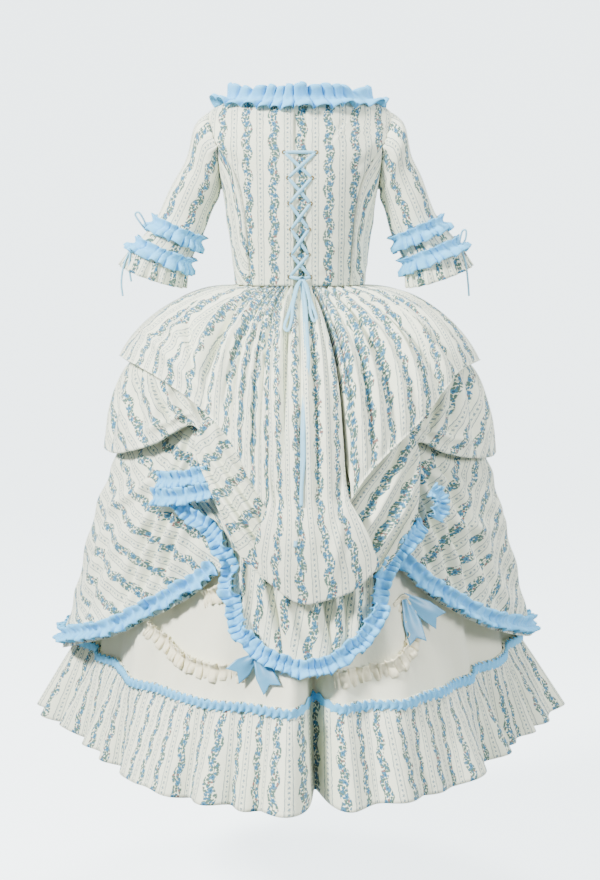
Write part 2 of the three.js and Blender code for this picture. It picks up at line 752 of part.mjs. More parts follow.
// The petticoat's own ring of points at a height near its end.
function petticoatRingAt(z) {
  const [above, end] = petticoatGrid.slice(-2);
  const top = PETTICOAT_FORM[PETTICOAT_FORM.length - 2].wideZ;
  return end.map((p, i) => above[i].clone().lerp(p, (z - top) / (PETTICOAT_END_Z - top)));
}

function flounceRing(v, lift, wave) {
  const count = FLOUNCE_WAVES * 4;
  const drop = (GATHER_Z - HEM_Z) * v;
  const seam = petticoatRingAt(GATHER_Z - Math.min(drop, 0));
  const row = [];
  for (let k = 0; k < count; k++) {
    const a = seam[Math.floor(k / 2) % seam.length];
    const b = seam[Math.floor((k + 1) / 2) % seam.length];
    const turn = (k * 360) / count;
    const top = a.clone().add(b).multiplyScalar(0.5);
    const hem = onForm(DRAPE_FORM, turn, DRAPE_FORM.length - 1);
    hem.multiply(V(hemLobe(turn), hemLobe(turn), 1));
    const p = top.clone().lerp(hem, Math.max(v, 0));
    const out = V(top.x, top.y, 0).normalize();
    const swing = Math.sin((k * Math.PI) / 2);
    row.push(p.addScaledVector(out, lift + wave * swing));
  }
  return row;
}
const flounceGrid = [
  flounceRing(-HEADING / (GATHER_Z - HEM_Z), 4.9, 1.8),
  flounceRing(0, 2.9, 0),
  flounceRing(1, 2, 12),
];
add("petticoat_flounce", wall(flounceGrid, THIN, true), "print");

// The ruched trim covers the gathering line.
const TRIM_HALF = 8;
const trimGrid = [-1, 1].map((h) => {
  const drop = (h * TRIM_HALF) / (GATHER_Z - HEM_Z);
  const lift = h < 0 ? 6.9 : 5.9;
  return flounceRing(drop, lift, 0).filter((p, k) => k % 2 === 0);
});
add("flounce_trim", wall(trimGrid, THIN, true), "blue");

// A point and its way out on the petticoat's facets, by turn and height.
function onPetticoat(turnDeg, z) {
  const rows = PETTICOAT_FORM;
  let j = 0;
  while (j < rows.length - 2 && rows[j + 1].wideZ > z) j++;
  const v = (j + (z - rows[j].wideZ) / (rows[j + 1].wideZ - rows[j].wideZ)) / (rows.length - 1);
  const closed = petticoatGrid.map((row) => [...row, row[0]]);
  return onFacets(closed, (((turnDeg % 360) + 360) % 360) / 360, v);
}

// A draped panel: each station is one line of the cloth, from its top to its lower edge, by turn
// from the back centre and by level of the form. Out is how far it stands off the form, and puff
// how much it fills out between its ends. The edge is turned under.
const DRAPE_ROWS = 8;
const TUCK = { level: 0.05, in: 15 };

function drapedGrid(stations, columns, options = {}) {
  const { pleats = 0, pleatDepth = 0, rows = DRAPE_ROWS, tuck = TUCK, sharp = 1, drop = 0 } = options;
  const points = grid(columns, rows, (u, v) => {
    const s = between(stations, u * (stations.length - 1));
    const share = v ** sharp;
    const wave = (1 - Math.cos(2 * Math.PI * pleats * u)) / 2;
    const fade = Math.sin(Math.PI * Math.min(v * 3, 1) ** 0.7) * 0.6 + 0.4 * Math.min(v * 4, 1);
    const fold = pleatDepth * wave * fade * (1 - 0.6 * v);
    const out = lerp(s.out0, s.out1, v ** 2) + s.puff * Math.sin(Math.PI * v) + fold;
    const p = onForm(DRAPE_FORM, lerp(s.turn0, s.turn1, v), lerp(s.level0, s.level1, share), out);
    p.z -= drop;
    return p;
  });
  if (tuck.in) {
    const last = grid(columns, 1, (u) => {
      const s = between(stations, u * (stations.length - 1));
      const out = s.out1 - tuck.in;
      return onForm(DRAPE_FORM, s.turn1, s.level1 - tuck.level, out);
    })[0];
    points.push(last);
  }
  return points;
}

// The station share and the height share of a panel at a turn and a level.
function findOn(stations, turn, level) {
  let best = { miss: Infinity, u: 0, v: 0 };
  const steps = 240;
  for (let k = 0; k <= steps; k++) {
    const s = between(stations, (k / steps) * (stations.length - 1));
    const v = (level - s.level0) / (s.level1 - s.level0);
    const miss = Math.abs(lerp(s.turn0, s.turn1, v) - turn);
    if (v <= 1 && miss < best.miss) best = { miss, u: k / steps, v };
  }
  return best;
}

// Lays a grid's top row against the inside of the panel that carries it.
function hungFrom(points, stations, carrier, own) {
  const rows = carrier.length - 1;
  points[0] = points[0].map((p, i) => {
    const s = between(own, (i / (points[0].length - 1)) * (own.length - 1));
    const { u, v } = findOn(stations, s.turn0, s.level0);
    return onFacets(carrier, u, (v * (rows - 1)) / rows, -(CLOTH + 0.7)).point;
  });
  return points;
}

// Lays a grid's top row against the petticoat.
function stitchedTop(points) {
  points[0] = points[0].map((p) => {
    const turn = THREE.MathUtils.radToDeg(Math.atan2(p.x / 1.02, -p.y));
    const at = onPetticoat(turn, p.z);
    return at.point.addScaledVector(at.normal, CLOTH + 2.6);
  });
  return points;
}

function stationRows(list) {
  return list.map(([turn0, level0, turn1, level1, out0, out1, puff]) => (
    { turn0, level0, turn1, level1, out0, out1, puff }
  ));
}

// Columns: turn and level of the top, turn and level of the edge, out at the top, out at the
// edge, puff.
const OVERSKIRT_LEFT = stationRows([
  [-150, 0, -128, 4.6, 0, 0, 0],
  [-125, 0, -108, 4.2, 0, 0, 0],
  [-98, 0, -87, 3.95, 0, 6, 4],
  [-75, 0, -67, 3.95, 0, 2, 2],
  [-55, 0, -51, 4.1, 0, 0, 0],
  [-38, 0, -36, 4.42, 0, 0, 0],
  [-28, 0, -26, 4.8, 0, 0, 0],
  [-21, 0, -19, 5.22, 0, 0, 0],
  [-16, 0, -13, 5.85, 0, 0, 0],
  [-11, 0, -8, 6.42, 0, 0, 0],
]);
const OVERSKIRT_RIGHT = stationRows([
  [10, 0, 13.2, 6.15, 0, 0, 0],
  [16, 0, 17.5, 5.8, 0, 0, 0],
  [24, 0, 24, 5.45, 0, 0, 0],
  [34, 0, 32, 5.1, 0, 0, 0],
  [45, 0, 39, 4.78, 0, 0, 0],
  [56, 0, 48, 4.38, 0, 0, 0],
  [68, 0, 58, 4.08, 0, 0, 0],
  [84, 0, 74, 4.0, 0, 0, 2],
  [104, 0, 94, 4.1, 0, 2, 2],
  [126, 0, 112, 4.3, 0, 0, 0],
  [150, 0, 128, 4.6, 0, 0, 0],
]);
const PUFF_LEFT = stationRows([
  [-128, 4.2, -122, 6.2, -36, -16, 8],
  [-108, 3.8, -104, 5.95, -36, -16, 8],
  [-88, 3.55, -86, 5.85, -34, -12, 8],
  [-68, 3.6, -66, 5.75, -34, -14, 8],
  [-52, 3.75, -48, 5.45, -34, -18, 6],
  [-42, 4.0, -40, 5.15, -34, -26, 0],
  [-34, 4.1, -34, 4.95, -34, -33, 0],
  [-28, 4.35, -28, 5.2, -34, -37, 0],
]);
const PUFF_RIGHT = stationRows([
  [31, 4.45, 31, 5.4, -34, -37, 0],
  [38, 4.2, 38, 5.3, -34, -32, 0],
  [45, 4.0, 45, 5.53, -34, -24, 0],
  [54, 3.9, 55, 5.72, -34, -16, 6],
  [66, 3.65, 68, 5.85, -34, -12, 8],
  [86, 3.6, 86, 5.95, -36, -14, 8],
  [106, 3.8, 104, 6.0, -36, -16, 8],
  [128, 4.2, 122, 6.2, -36, -16, 8],
]);
const DRAPE_LEFT = stationRows([
  [-125, 5.9, -125, 8.9, -50, -6, 14],
  [-105, 5.6, -105, 9.1, -50, -2, 20],
  [-86, 5.5, -88, 9.12, -46, 3, 25],
  [-68, 5.4, -70, 8.78, -48, -8, 21],
  [-54, 5.2, -56, 8.43, -54, -22, 13],
  [-44, 5.0, -46, 8.08, -58, -34, 6],
  [-36, 4.8, -38, 7.85, -58, -42, 0],
  [-28, 4.8, -30, 7.62, -60, -48, 0],
  [-20, 5.0, -22.5, 7.3, -60, -50, 0],
]);
const DRAPE_RIGHT = stationRows([
  [21, 5.0, 24, 7.1, -60, -50, 0],
  [28, 4.8, 29, 7.3, -60, -48, 0],
  [36, 4.9, 37, 7.65, -58, -44, 0],
  [45, 5.1, 46, 7.95, -56, -36, 6],
  [54, 5.3, 55, 8.25, -54, -26, 13],
  [68, 5.4, 68, 8.6, -48, -12, 21],
  [86, 5.5, 86, 8.9, -46, -2, 25],
  [105, 5.6, 105, 9.0, -50, -4, 20],
  [125, 5.9, 125, 8.8, -50, -6, 14],
]);
const TAIL = stationRows([
  [-30, 6.0, -38, 6.35, -44, -36, 0],
  [-26, 6.1, -27, 6.72, -44, -38, 0],
  [-22, 6.2, -21.5, 7.02, -44, -38, 0],
  [-18, 6.3, -19, 7.4, -44, -36, 0],
  [-15, 6.4, -17.5, 7.75, -44, -30, 0],
  [-11, 6.5, -14, 8.12, -44, -22, 0],
  [-7, 6.6, -9.5, 8.35, -44, -17, 0],
  [-3, 6.6, -4.5, 8.52, -44, -14, 0],
  [1, 6.6, 1, 8.6, -44, -14, 0],
  [5, 6.6, 7, 8.53, -44, -14, 0],
  [9, 6.5, 11.5, 8.35, -44, -17, 0],
  [13, 6.4, 16.5, 8.12, -44, -22, 0],
  [16, 6.3, 20.5, 7.8, -44, -30, 0],
  [19, 6.2, 21.5, 7.5, -44, -36, 0],
  [22, 6.1, 26, 7.2, -44, -38, 0],
  [27, 6.0, 31, 7.0, -44, -38, 0],
  [32, 5.8, 37, 6.75, -44, -38, 0],
]);

const PLEATED = { pleats: 5, pleatDepth: 9, drop: 2 * SEAM_GAP };
const topGrids = {
  left: drapedGrid(OVERSKIRT_LEFT, 16, PLEATED),
  right: drapedGrid(OVERSKIRT_RIGHT, 16, PLEATED),
};
const puffGrids = {
  left: hungFrom(drapedGrid(PUFF_LEFT, 14, { rows: 5 }), OVERSKIRT_LEFT, topGrids.left, PUFF_LEFT),
  right: hungFrom(drapedGrid(PUFF_RIGHT, 14, { rows: 5 }), OVERSKIRT_RIGHT, topGrids.right, PUFF_RIGHT),
};
add("overskirt_left", wall(topGrids.left, CLOTH), "print");
add("overskirt_right", wall(topGrids.right, CLOTH), "print");
add("overskirt_puff_left", wall(puffGrids.left, CLOTH), "print");
add("overskirt_puff_right", wall(puffGrids.right, CLOTH), "print");
const drapeGrids = {
  left: stitchedTop(drapedGrid(DRAPE_LEFT, 16, { rows: 6, tuck: { in: 0 } })),
  right: stitchedTop(drapedGrid(DRAPE_RIGHT, 16, { rows: 6, tuck: { in: 0 } })),
};
add("side_drape_left", wall(drapeGrids.left, CLOTH), "print");
add("side_drape_right", wall(drapeGrids.right, CLOTH), "print");

// The centre panel falls from the waist past the points of the side panels and is turned under
// at its foot. Columns: turn at the waist, at the points, at the foot, and the foot's level.
const CENTRE = [
  { waist: -10.6, vee: -7.7, foot: -12, level: 7.15 },
  { waist: -6.5, vee: -4.5, foot: -6, level: 7.42 },
  { waist: -2.5, vee: -0.5, foot: 0, level: 7.6 },
  { waist: 1.5, vee: 3.5, foot: 6, level: 7.57 },
  { waist: 5.5, vee: 8, foot: 13, level: 7.46 },
  { waist: 9.6, vee: 12.4, foot: 19.5, level: 7.2 },
];
const VEE_LEVEL = 6.2;
const CENTRE_BULGE = 8;

function centreGrid(columns, rows) {
  const at = (u, v) => {
    const s = between(CENTRE, u * (CENTRE.length - 1));
    const level = v * s.level;
    const low = Math.max(level - VEE_LEVEL, 0) / (s.level - VEE_LEVEL);
    const turn = level < VEE_LEVEL
      ? lerp(s.waist, s.vee, level / VEE_LEVEL)
      : lerp(s.vee, s.foot, low);
    const wave = (1 - Math.cos(2 * Math.PI * 2 * u)) / 2;
    const fold = 6 * wave * Math.min(v * 4, 1) * (1 - 0.7 * v);
    const p = onForm(DRAPE_FORM, turn, level, fold + CENTRE_BULGE * Math.sin(Math.PI * low) * (low > 0));
    p.z -= 0.6;
    return p;
  };
  const points = grid(columns, rows, at);
  points.push(grid(columns, 1, (u) => {
    const s = between(CENTRE, u * (CENTRE.length - 1));
    return onForm(DRAPE_FORM, s.foot, s.level - TUCK.level, -TUCK.in);
  })[0]);
  return points;
}
add("overskirt_centre", wall(centreGrid(8, 10), CLOTH), "print");

// The cowls hang between the side panels' edges and the centre panel.
const COWL_LEFT = [
  { level: 4.75, left: -28.5, right: -17, out: -24 },
  { level: 5.35, left: -31, right: -13, out: -24 },
  { level: 5.85, left: -26.5, right: -10, out: -22 },
  { level: 6.5, left: -21, right: -6, out: -21 },
  { level: 6.9, left: -17.5, right: -5, out: -21 },
  { level: 7.15, left: -14.5, right: -4, out: -22 },
  { level: 7.4, left: -8, right: -3, out: -23 },
];
const COWL_RIGHT = [
  { level: 5.0, left: 22, right: 33, out: -24 },
  { level: 5.45, left: 18, right: 36, out: -24 },
  { level: 6.0, left: 12, right: 35, out: -22 },
  { level: 6.5, left: 11, right: 33, out: -21 },
  { level: 6.9, left: 12, right: 29, out: -22 },
  { level: 7.15, left: 14, right: 25, out: -23 },
  { level: 7.3, left: 16, right: 22, out: -23 },
];

function cowlGrid(rows) {
  return grid(6, rows.length - 1, (u, v, i, j) => {
    const s = rows[j];
    const fold = 3 * Math.sin(2 * Math.PI * (u + v));
    return onForm(DRAPE_FORM, lerp(s.left, s.right, u), s.level, s.out + fold);
  });
}
// The edge of a cowl that is hidden lies against the inside of the side panel.
function seatCowl(points, rows, column, stations, carrier) {
  const last = carrier.length - 1;
  [0, 1].forEach((j) => {
    const turn = column === 0 ? rows[j].left : rows[j].right;
    const { u, v } = findOn(stations, turn, rows[j].level);
    points[j][column] = onFacets(carrier, u, (v * (last - 1)) / last, -(CLOTH + 1)).point;
  });
  return points;
}
const cowlGrids = {
  left: seatCowl(cowlGrid(COWL_LEFT), COWL_LEFT, 6, OVERSKIRT_LEFT, topGrids.left),
  right: seatCowl(cowlGrid(COWL_RIGHT), COWL_RIGHT, 0, OVERSKIRT_RIGHT, topGrids.right),
};
add("overskirt_cowl_left", wall(cowlGrids.left, CLOTH), "print");
add("overskirt_cowl_right", wall(cowlGrids.right, CLOTH), "print");

// A point just inside a cowl, or null where it has none.
function underCowl(points, rows, turn, level) {
  let j = 0;
  while (j < rows.length - 2 && rows[j + 1].level < level) j++;
  const f = (level - rows[j].level) / (rows[j + 1].level - rows[j].level);
  const left = lerp(rows[j].left, rows[j + 1].left, f);
  const right = lerp(rows[j].right, rows[j + 1].right, f);
  const u = (turn - left) / (right - left);
  if (u < 0.04 || u > 0.9) return null;
  return onFacets(points, u, (j + f) / (rows.length - 1), -(CLOTH + 1)).point;
}

// The tail's top edge is caught under the cowls.
const tailGrid = drapedGrid(TAIL, 20, { rows: 5, tuck: { in: 0 } });
tailGrid[0] = tailGrid[0].map((p, i) => {
  const s = between(TAIL, (i / 20) * (TAIL.length - 1));
  const cowl = s.turn0 < 0 ? [cowlGrids.left, COWL_LEFT] : [cowlGrids.right, COWL_RIGHT];
  return underCowl(...cowl, s.turn0, s.level0) ?? p;
});
add("overskirt_tail", wall(tailGrid, CLOTH), "print");

// Blue ruffles along the lower edges, stitched a little above them.
function edgeRuffle(points, waves, from, to, { v = 0.95, width = RUFFLE_WIDTH, lift = 1.6 } = {}) {
  const path = (q) => {
    const u = lerp(from, to, q);
    const at = onFacets(points, u, v);
    const below = onFacets(points, u, Math.min(v + 0.04, 1)).point;
    const above = onFacets(points, u, v - 0.04).point;
    const before = onFacets(points, Math.max(u - 0.01, 0), v).point;
    const after = onFacets(points, Math.min(u + 0.01, 1), v).point;
    const along = after.sub(before).normalize();
    const down = below.sub(above);
    down.addScaledVector(along, -down.dot(along)).normalize();
    return { point: at.point, out: down.clone().cross(along).normalize(), down };
  };
  return ruffle(path, { waves, width, rise: 8, lift });
}
add("drape_ruffle_left", edgeRuffle(drapeGrids.left, 12, 0, 0.97), "blue");
add("drape_ruffle_right", edgeRuffle(drapeGrids.right, 12, 0.1, 1), "blue");
add("tail_ruffle", edgeRuffle(tailGrid, 26, 0, 1, { lift: 2.4 }), "blue");

// Cream ruffles in an arc on each side of the petticoat.
const CREAM_LEFT = [
  { turn: -13, z: -1010 },
  { turn: -26, z: -1010 },
  { turn: -36, z: -995 },
  { turn: -45, z: -965 },
];
const CREAM_RIGHT = [
  { turn: 8, z: -1020 },
  { turn: 16, z: -1013 },
  { turn: 23, z: -1003 },
  { turn: 30, z: -975 },
];

function petticoatRuffle(route, waves) {
  const at = (q) => {
    const s = between(route, q * (route.length - 1));
    return onPetticoat(s.turn, s.z);
  };
  const path = (q) => {
    const here = at(q);
    const along = at(q + 0.01).point.sub(at(q - 0.01).point).normalize();
    const out = here.normal.clone();
    const sign = along.x > 0 ? 1 : -1;
    const down = along.clone().multiplyScalar(sign).cross(out).normalize().multiplyScalar(1);
    if (down.z > 0) down.negate();
    return { point: here.point, out, down };
  };
  return ruffle(path, { waves, width: 30, rise: 7, lift: 1 });
}
add("petticoat_ruffle_left", petticoatRuffle([...CREAM_LEFT].reverse(), 8), "cream");
add("petticoat_ruffle_right", petticoatRuffle(CREAM_RIGHT, 7), "cream");

// Lacing: one flat ribbon from pair to pair, with a bar across the top pair and a bow below.
const LACE_LIFT = 1.6;
const CROSS_LIFT = 1.3;
const KNOT = { x: 4, y: -108, z: -311 };

function eyeletAt(side, k) {
  return eyelets.find((e) => e.side === side && e.k === k);
}

// A ribbon between two points, raised in the middle.
function strand(from, to, out, raise) {
  const along = to.clone().sub(from);
  const side = along.clone().cross(out).normalize();
  const steps = raise ? 2 : 1;
  const stations = [];
  for (let k = 0; k <= steps; k++) {
    const q = k / steps;
    const lift = LACE_LIFT + raise * Math.sin(Math.PI * q);
    const point = from.clone().addScaledVector(along, q).addScaledVector(out, lift);
    stations.push({ point, side, out, share: k === 0 || k === steps ? 0.6 : 1 });
  }
  return strip(stations, LACE_WIDTH, LACE_THICK);
}

const backwards = V(0, -1, 0);
const laces = [strand(eyeletAt("left", 0).point, eyeletAt("right", 0).point, backwards, 0)];
for (let k = 0; k < EYELET_Z.length - 1; k++) {
  laces.push(strand(eyeletAt("left", k).point, eyeletAt("right", k + 1).point, backwards, 0));
  laces.push(strand(eyeletAt("right", k).point, eyeletAt("left", k + 1).point, backwards, CROSS_LIFT));
}
const knotPoint = V(KNOT.x, KNOT.y, KNOT.z);
const knotFoot = knotPoint.clone().addScaledVector(backwards, -LACE_LIFT);
for (const side of ["left", "right"]) {
  laces.push(strand(eyeletAt(side, EYELET_Z.length - 1).point, knotFoot, backwards, 0));
}
const knot = new THREE.BoxGeometry(9, 5, 9);
knot.translate(KNOT.x, KNOT.y - 1, KNOT.z);
laces.push(weld(knot));

// The bow's loops lie on the skirt below the knot: how far across and down their middle line goes.
const LOOP = [
  { across: 0, down: 0, off: 0 },
  { across: 11, down: 13, off: 27 },
  { across: 18, down: 38, off: 81 },
  { across: 27, down: 64, off: 128 },
  { across: 34, down: 85, off: 156 },
  { across: 27, down: 92, off: 166 },
  { across: 20, down: 72, off: 140 },
  { across: 17, down: 44, off: 94 },
  { across: 7, down: 9, off: 20 },
  { across: 1, down: 1, off: 1 },
];
const LOOP_REACH = { left: 1, right: 0.82 };

function bowLoop(sign, reach) {
  const steps = 9;
  const at = (q) => {
    const s = between(LOOP, q * (LOOP.length - 1));
    const rest = 4 * Math.sin(Math.PI * q);
    return V(KNOT.x + sign * s.across * reach, KNOT.y - 3 - rest - s.off * reach, KNOT.z - s.down * reach);
  };
  const stations = [];
  for (let k = 0; k <= steps; k++) {
    const q = k / steps;
    const point = at(q);
    const along = at(Math.min(q + 0.02, 1)).sub(at(Math.max(q - 0.02, 0))).normalize();
    const out = V(0, -0.75, 0.66);
    const side = along.clone().cross(out).normalize();
    stations.push({ point, side, out: side.clone().cross(along).normalize(), share: 0.8 });
  }
  return strip(stations, LACE_WIDTH, LACE_THICK);
}
laces.push(bowLoop(-1, LOOP_REACH.left), bowLoop(1, LOOP_REACH.right));
add("lacing", joined(laces), "lace");

// The lacing's free ends hang over the centre panel.
const TAIL_LONG = [
  { x: 4, y: -113.9, z: -315.9 },
  { x: 4, y: -133, z: -330 },
  { x: 5, y: -156, z: -338 },
  { x: 6, y: -181, z: -349 },
  { x: 8, y: -213, z: -364 },
  { x: 9, y: -243, z: -384 },
  { x: 11, y: -287, z: -420 },
  { x: 13, y: -318, z: -456 },
  { x: 10, y: -347, z: -501 },
  { x: 6, y: -370, z: -547 },
  { x: 4, y: -389, z: -592 },
  { x: 4, y: -403, z: -636 },
  { x: 0, y: -417, z: -681 },
  { x: -2, y: -430, z: -718 },
  { x: -5, y: -444, z: -751 },
  { x: -9, y: -456, z: -791 },
];
const TAIL_SHORT = [
  { x: 5, y: -118.9, z: -317.1 },
  { x: 7, y: -136, z: -327 },
  { x: 8, y: -159, z: -335 },
  { x: 9, y: -184, z: -346 },
  { x: 11, y: -216, z: -361 },
  { x: 12, y: -246, z: -381 },
  { x: 14, y: -290, z: -418 },
  { x: 15, y: -306, z: -435 },
  { x: 16, y: -321, z: -454 },
  { x: 13, y: -350, z: -500 },
  { x: 9, y: -373, z: -546 },
  { x: 7, y: -392, z: -591 },
  { x: 7, y: -406, z: -636 },
  { x: 3, y: -420, z: -681 },
  { x: 2, y: -433, z: -718 },
];

function freeRibbon(route, width) {
  const points = route.map((p) => V(p.x, p.y, p.z));
  const stations = points.map((point, k) => {
    const next = points[Math.min(k + 1, points.length - 1)];
    const along = next.clone().sub(points[Math.max(k - 1, 0)]).normalize();
    const side = V(1, 0, 0).addScaledVector(along, -along.x).normalize();
    return { point, side, out: along.clone().cross(side).normalize() };
  });
  if (stations[2].out.y > 0) stations.forEach((s) => s.out.negate());
  return strip(stations, width, LACE_THICK);
}
add("lacing_tail_long", freeRibbon(TAIL_LONG, LACE_WIDTH), "lace");
add("lacing_tail_short", freeRibbon(TAIL_SHORT, LACE_WIDTH), "lace");

// Satin bows that hold up the overskirt: a knot and two ends, by turn, level and out of the form.
const BOWS = {
  left: { knot: [-10.5, 8.3, -27], ends: [[-15.5, 8.62, -18], [-6, 8.78, -10]] },
  right: { knot: [29.5, 7.62, -51], ends: [[31, 8.25, -38], [39.5, 8.0, -38]] },
};
const BOW_WIDTH = 38;

function satinBow({ knot: centre, ends }) {
  const from = onForm(DRAPE_FORM, ...centre);
  const pieces = ends.map((end) => {
    const to = onForm(DRAPE_FORM, ...end);
    const along = to.clone().sub(from).normalize();
    const out = V(to.x, to.y, 0).normalize();
    const side = along.clone().cross(out).normalize();
    const stations = [0, 0.35, 0.7, 1].map((q) => ({
      point: from.clone().lerp(to, q),
      side,
      out: side.clone().cross(along).normalize(),
      share: 0.35 + 0.65 * Math.min(q * 1.5, 1),
    }));
    return strip(stations, BOW_WIDTH, THIN);
  });
  const tie = new THREE.BoxGeometry(16, 6, 16);
  tie.rotateZ(Math.atan2(from.x, -from.y));
  tie.translate(from.x, from.y, from.z);
  pieces.push(weld(tie));
  return joined(pieces);
}
add("satin_bow_left", satinBow(BOWS.left), "satin");
add("satin_bow_right", satinBow(BOWS.right), "satin");

export default group;
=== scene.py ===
"""Rococo dress with a laced back, a looped-up overskirt and a flounced petticoat, worn and hollow.

Metres in Blender, +Z up, the back faces -Y. Sizes below are in millimetres.
"""
import json
import math
import bpy
import numpy as np
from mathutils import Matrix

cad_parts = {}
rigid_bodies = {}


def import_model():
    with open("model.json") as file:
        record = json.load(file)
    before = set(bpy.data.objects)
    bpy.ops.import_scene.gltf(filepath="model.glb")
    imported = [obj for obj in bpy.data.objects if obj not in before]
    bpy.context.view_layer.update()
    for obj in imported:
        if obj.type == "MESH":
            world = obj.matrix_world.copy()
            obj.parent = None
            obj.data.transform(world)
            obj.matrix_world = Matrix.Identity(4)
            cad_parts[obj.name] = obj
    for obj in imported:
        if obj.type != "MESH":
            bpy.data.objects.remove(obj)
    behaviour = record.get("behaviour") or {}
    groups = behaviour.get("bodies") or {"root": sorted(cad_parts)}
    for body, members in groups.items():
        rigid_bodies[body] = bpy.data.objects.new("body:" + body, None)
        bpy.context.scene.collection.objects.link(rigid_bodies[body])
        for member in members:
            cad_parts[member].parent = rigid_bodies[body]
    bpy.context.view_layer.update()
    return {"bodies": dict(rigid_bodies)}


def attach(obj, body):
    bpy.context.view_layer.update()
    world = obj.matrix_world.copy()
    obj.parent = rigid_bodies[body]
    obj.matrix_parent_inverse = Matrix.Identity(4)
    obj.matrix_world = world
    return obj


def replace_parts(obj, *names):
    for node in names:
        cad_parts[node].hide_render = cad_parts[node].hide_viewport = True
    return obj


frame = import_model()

BODY = next(iter(frame["bodies"]))

MM = 0.001
WAIST_Z = -325
HEM_Z = -1250
REPEAT = 56
FLOWER_STEP = 24
CLOTH = 1.2
FRILL_CLOTH = 0.8
LACE_WIDTH = 7
LACE_THICK = 0.9

scene = bpy.context.scene

# Camera.
camera_data = bpy.data.cameras.new("camera")
camera = bpy.data.objects.new("camera", camera_data)
scene.collection.objects.link(camera)
camera_data.sensor_fit = "VERTICAL"
camera_data.sensor_height = 24
camera_data.lens = 42.87
camera.location = (0, -3.3, -0.2)
camera.rotation_euler = (math.radians(90 - 7.83), 0, 0)
scene.camera = camera


# Small helpers.
def unit(a):
    return a / np.maximum(np.linalg.norm(a, axis=-1, keepdims=True), 1e-9)


def lerp(a, b, f):
    return a + (b - a) * f


def smooth(x, low, high):
    t = np.clip((x - low) / (high - low), 0, 1)
    return t * t * (3 - 2 * t)


def sway(x, seed):
    """Uneven and smooth, from about -1 to 1."""
    a = 0.5 * np.sin(2.1 * x + seed * 1.7) + 0.3 * np.sin(3.7 * x + seed * 4.1)
    return a + 0.2 * np.sin(7.3 * x + seed * 2.3)


def spline(rows, index):
    """Rows of a table at fractional indices, on a smooth curve."""
    rows = np.asarray(rows, float)
    last = len(rows) - 1
    at = np.clip(np.asarray(index, float), 0, last)
    i = np.minimum(at.astype(int), last - 1)
    f = (at - i)[..., None]
    a = rows[np.maximum(i - 1, 0)]
    b = rows[i]
    c = rows[i + 1]
    d = rows[np.minimum(i + 2, last)]
    bend = (-a + 3 * b - 3 * c + d) * f**3 + (2 * a - 5 * b + 4 * c - d) * f**2
    return 0.5 * (2 * b + (c - a) * f + bend)


def paired(a, b):
    return np.stack(np.broadcast_arrays(a, b), -1)


def level_out(points):
    """The level way out from the middle of the dress."""
    return unit(points * np.array([1.0, 1, 0]))


def share_grid(columns, rows):
    v, u = np.meshgrid(np.linspace(0, 1, rows + 1), np.linspace(0, 1, columns + 1), indexing="ij")
    return u, v


def grid_normals(points, around=False):
    if around:
        du = np.roll(points, -1, 1) - np.roll(points, 1, 1)
    else:
        du = np.gradient(points, axis=1)
    dv = np.gradient(points, axis=0)
    return unit(np.cross(dv, du))


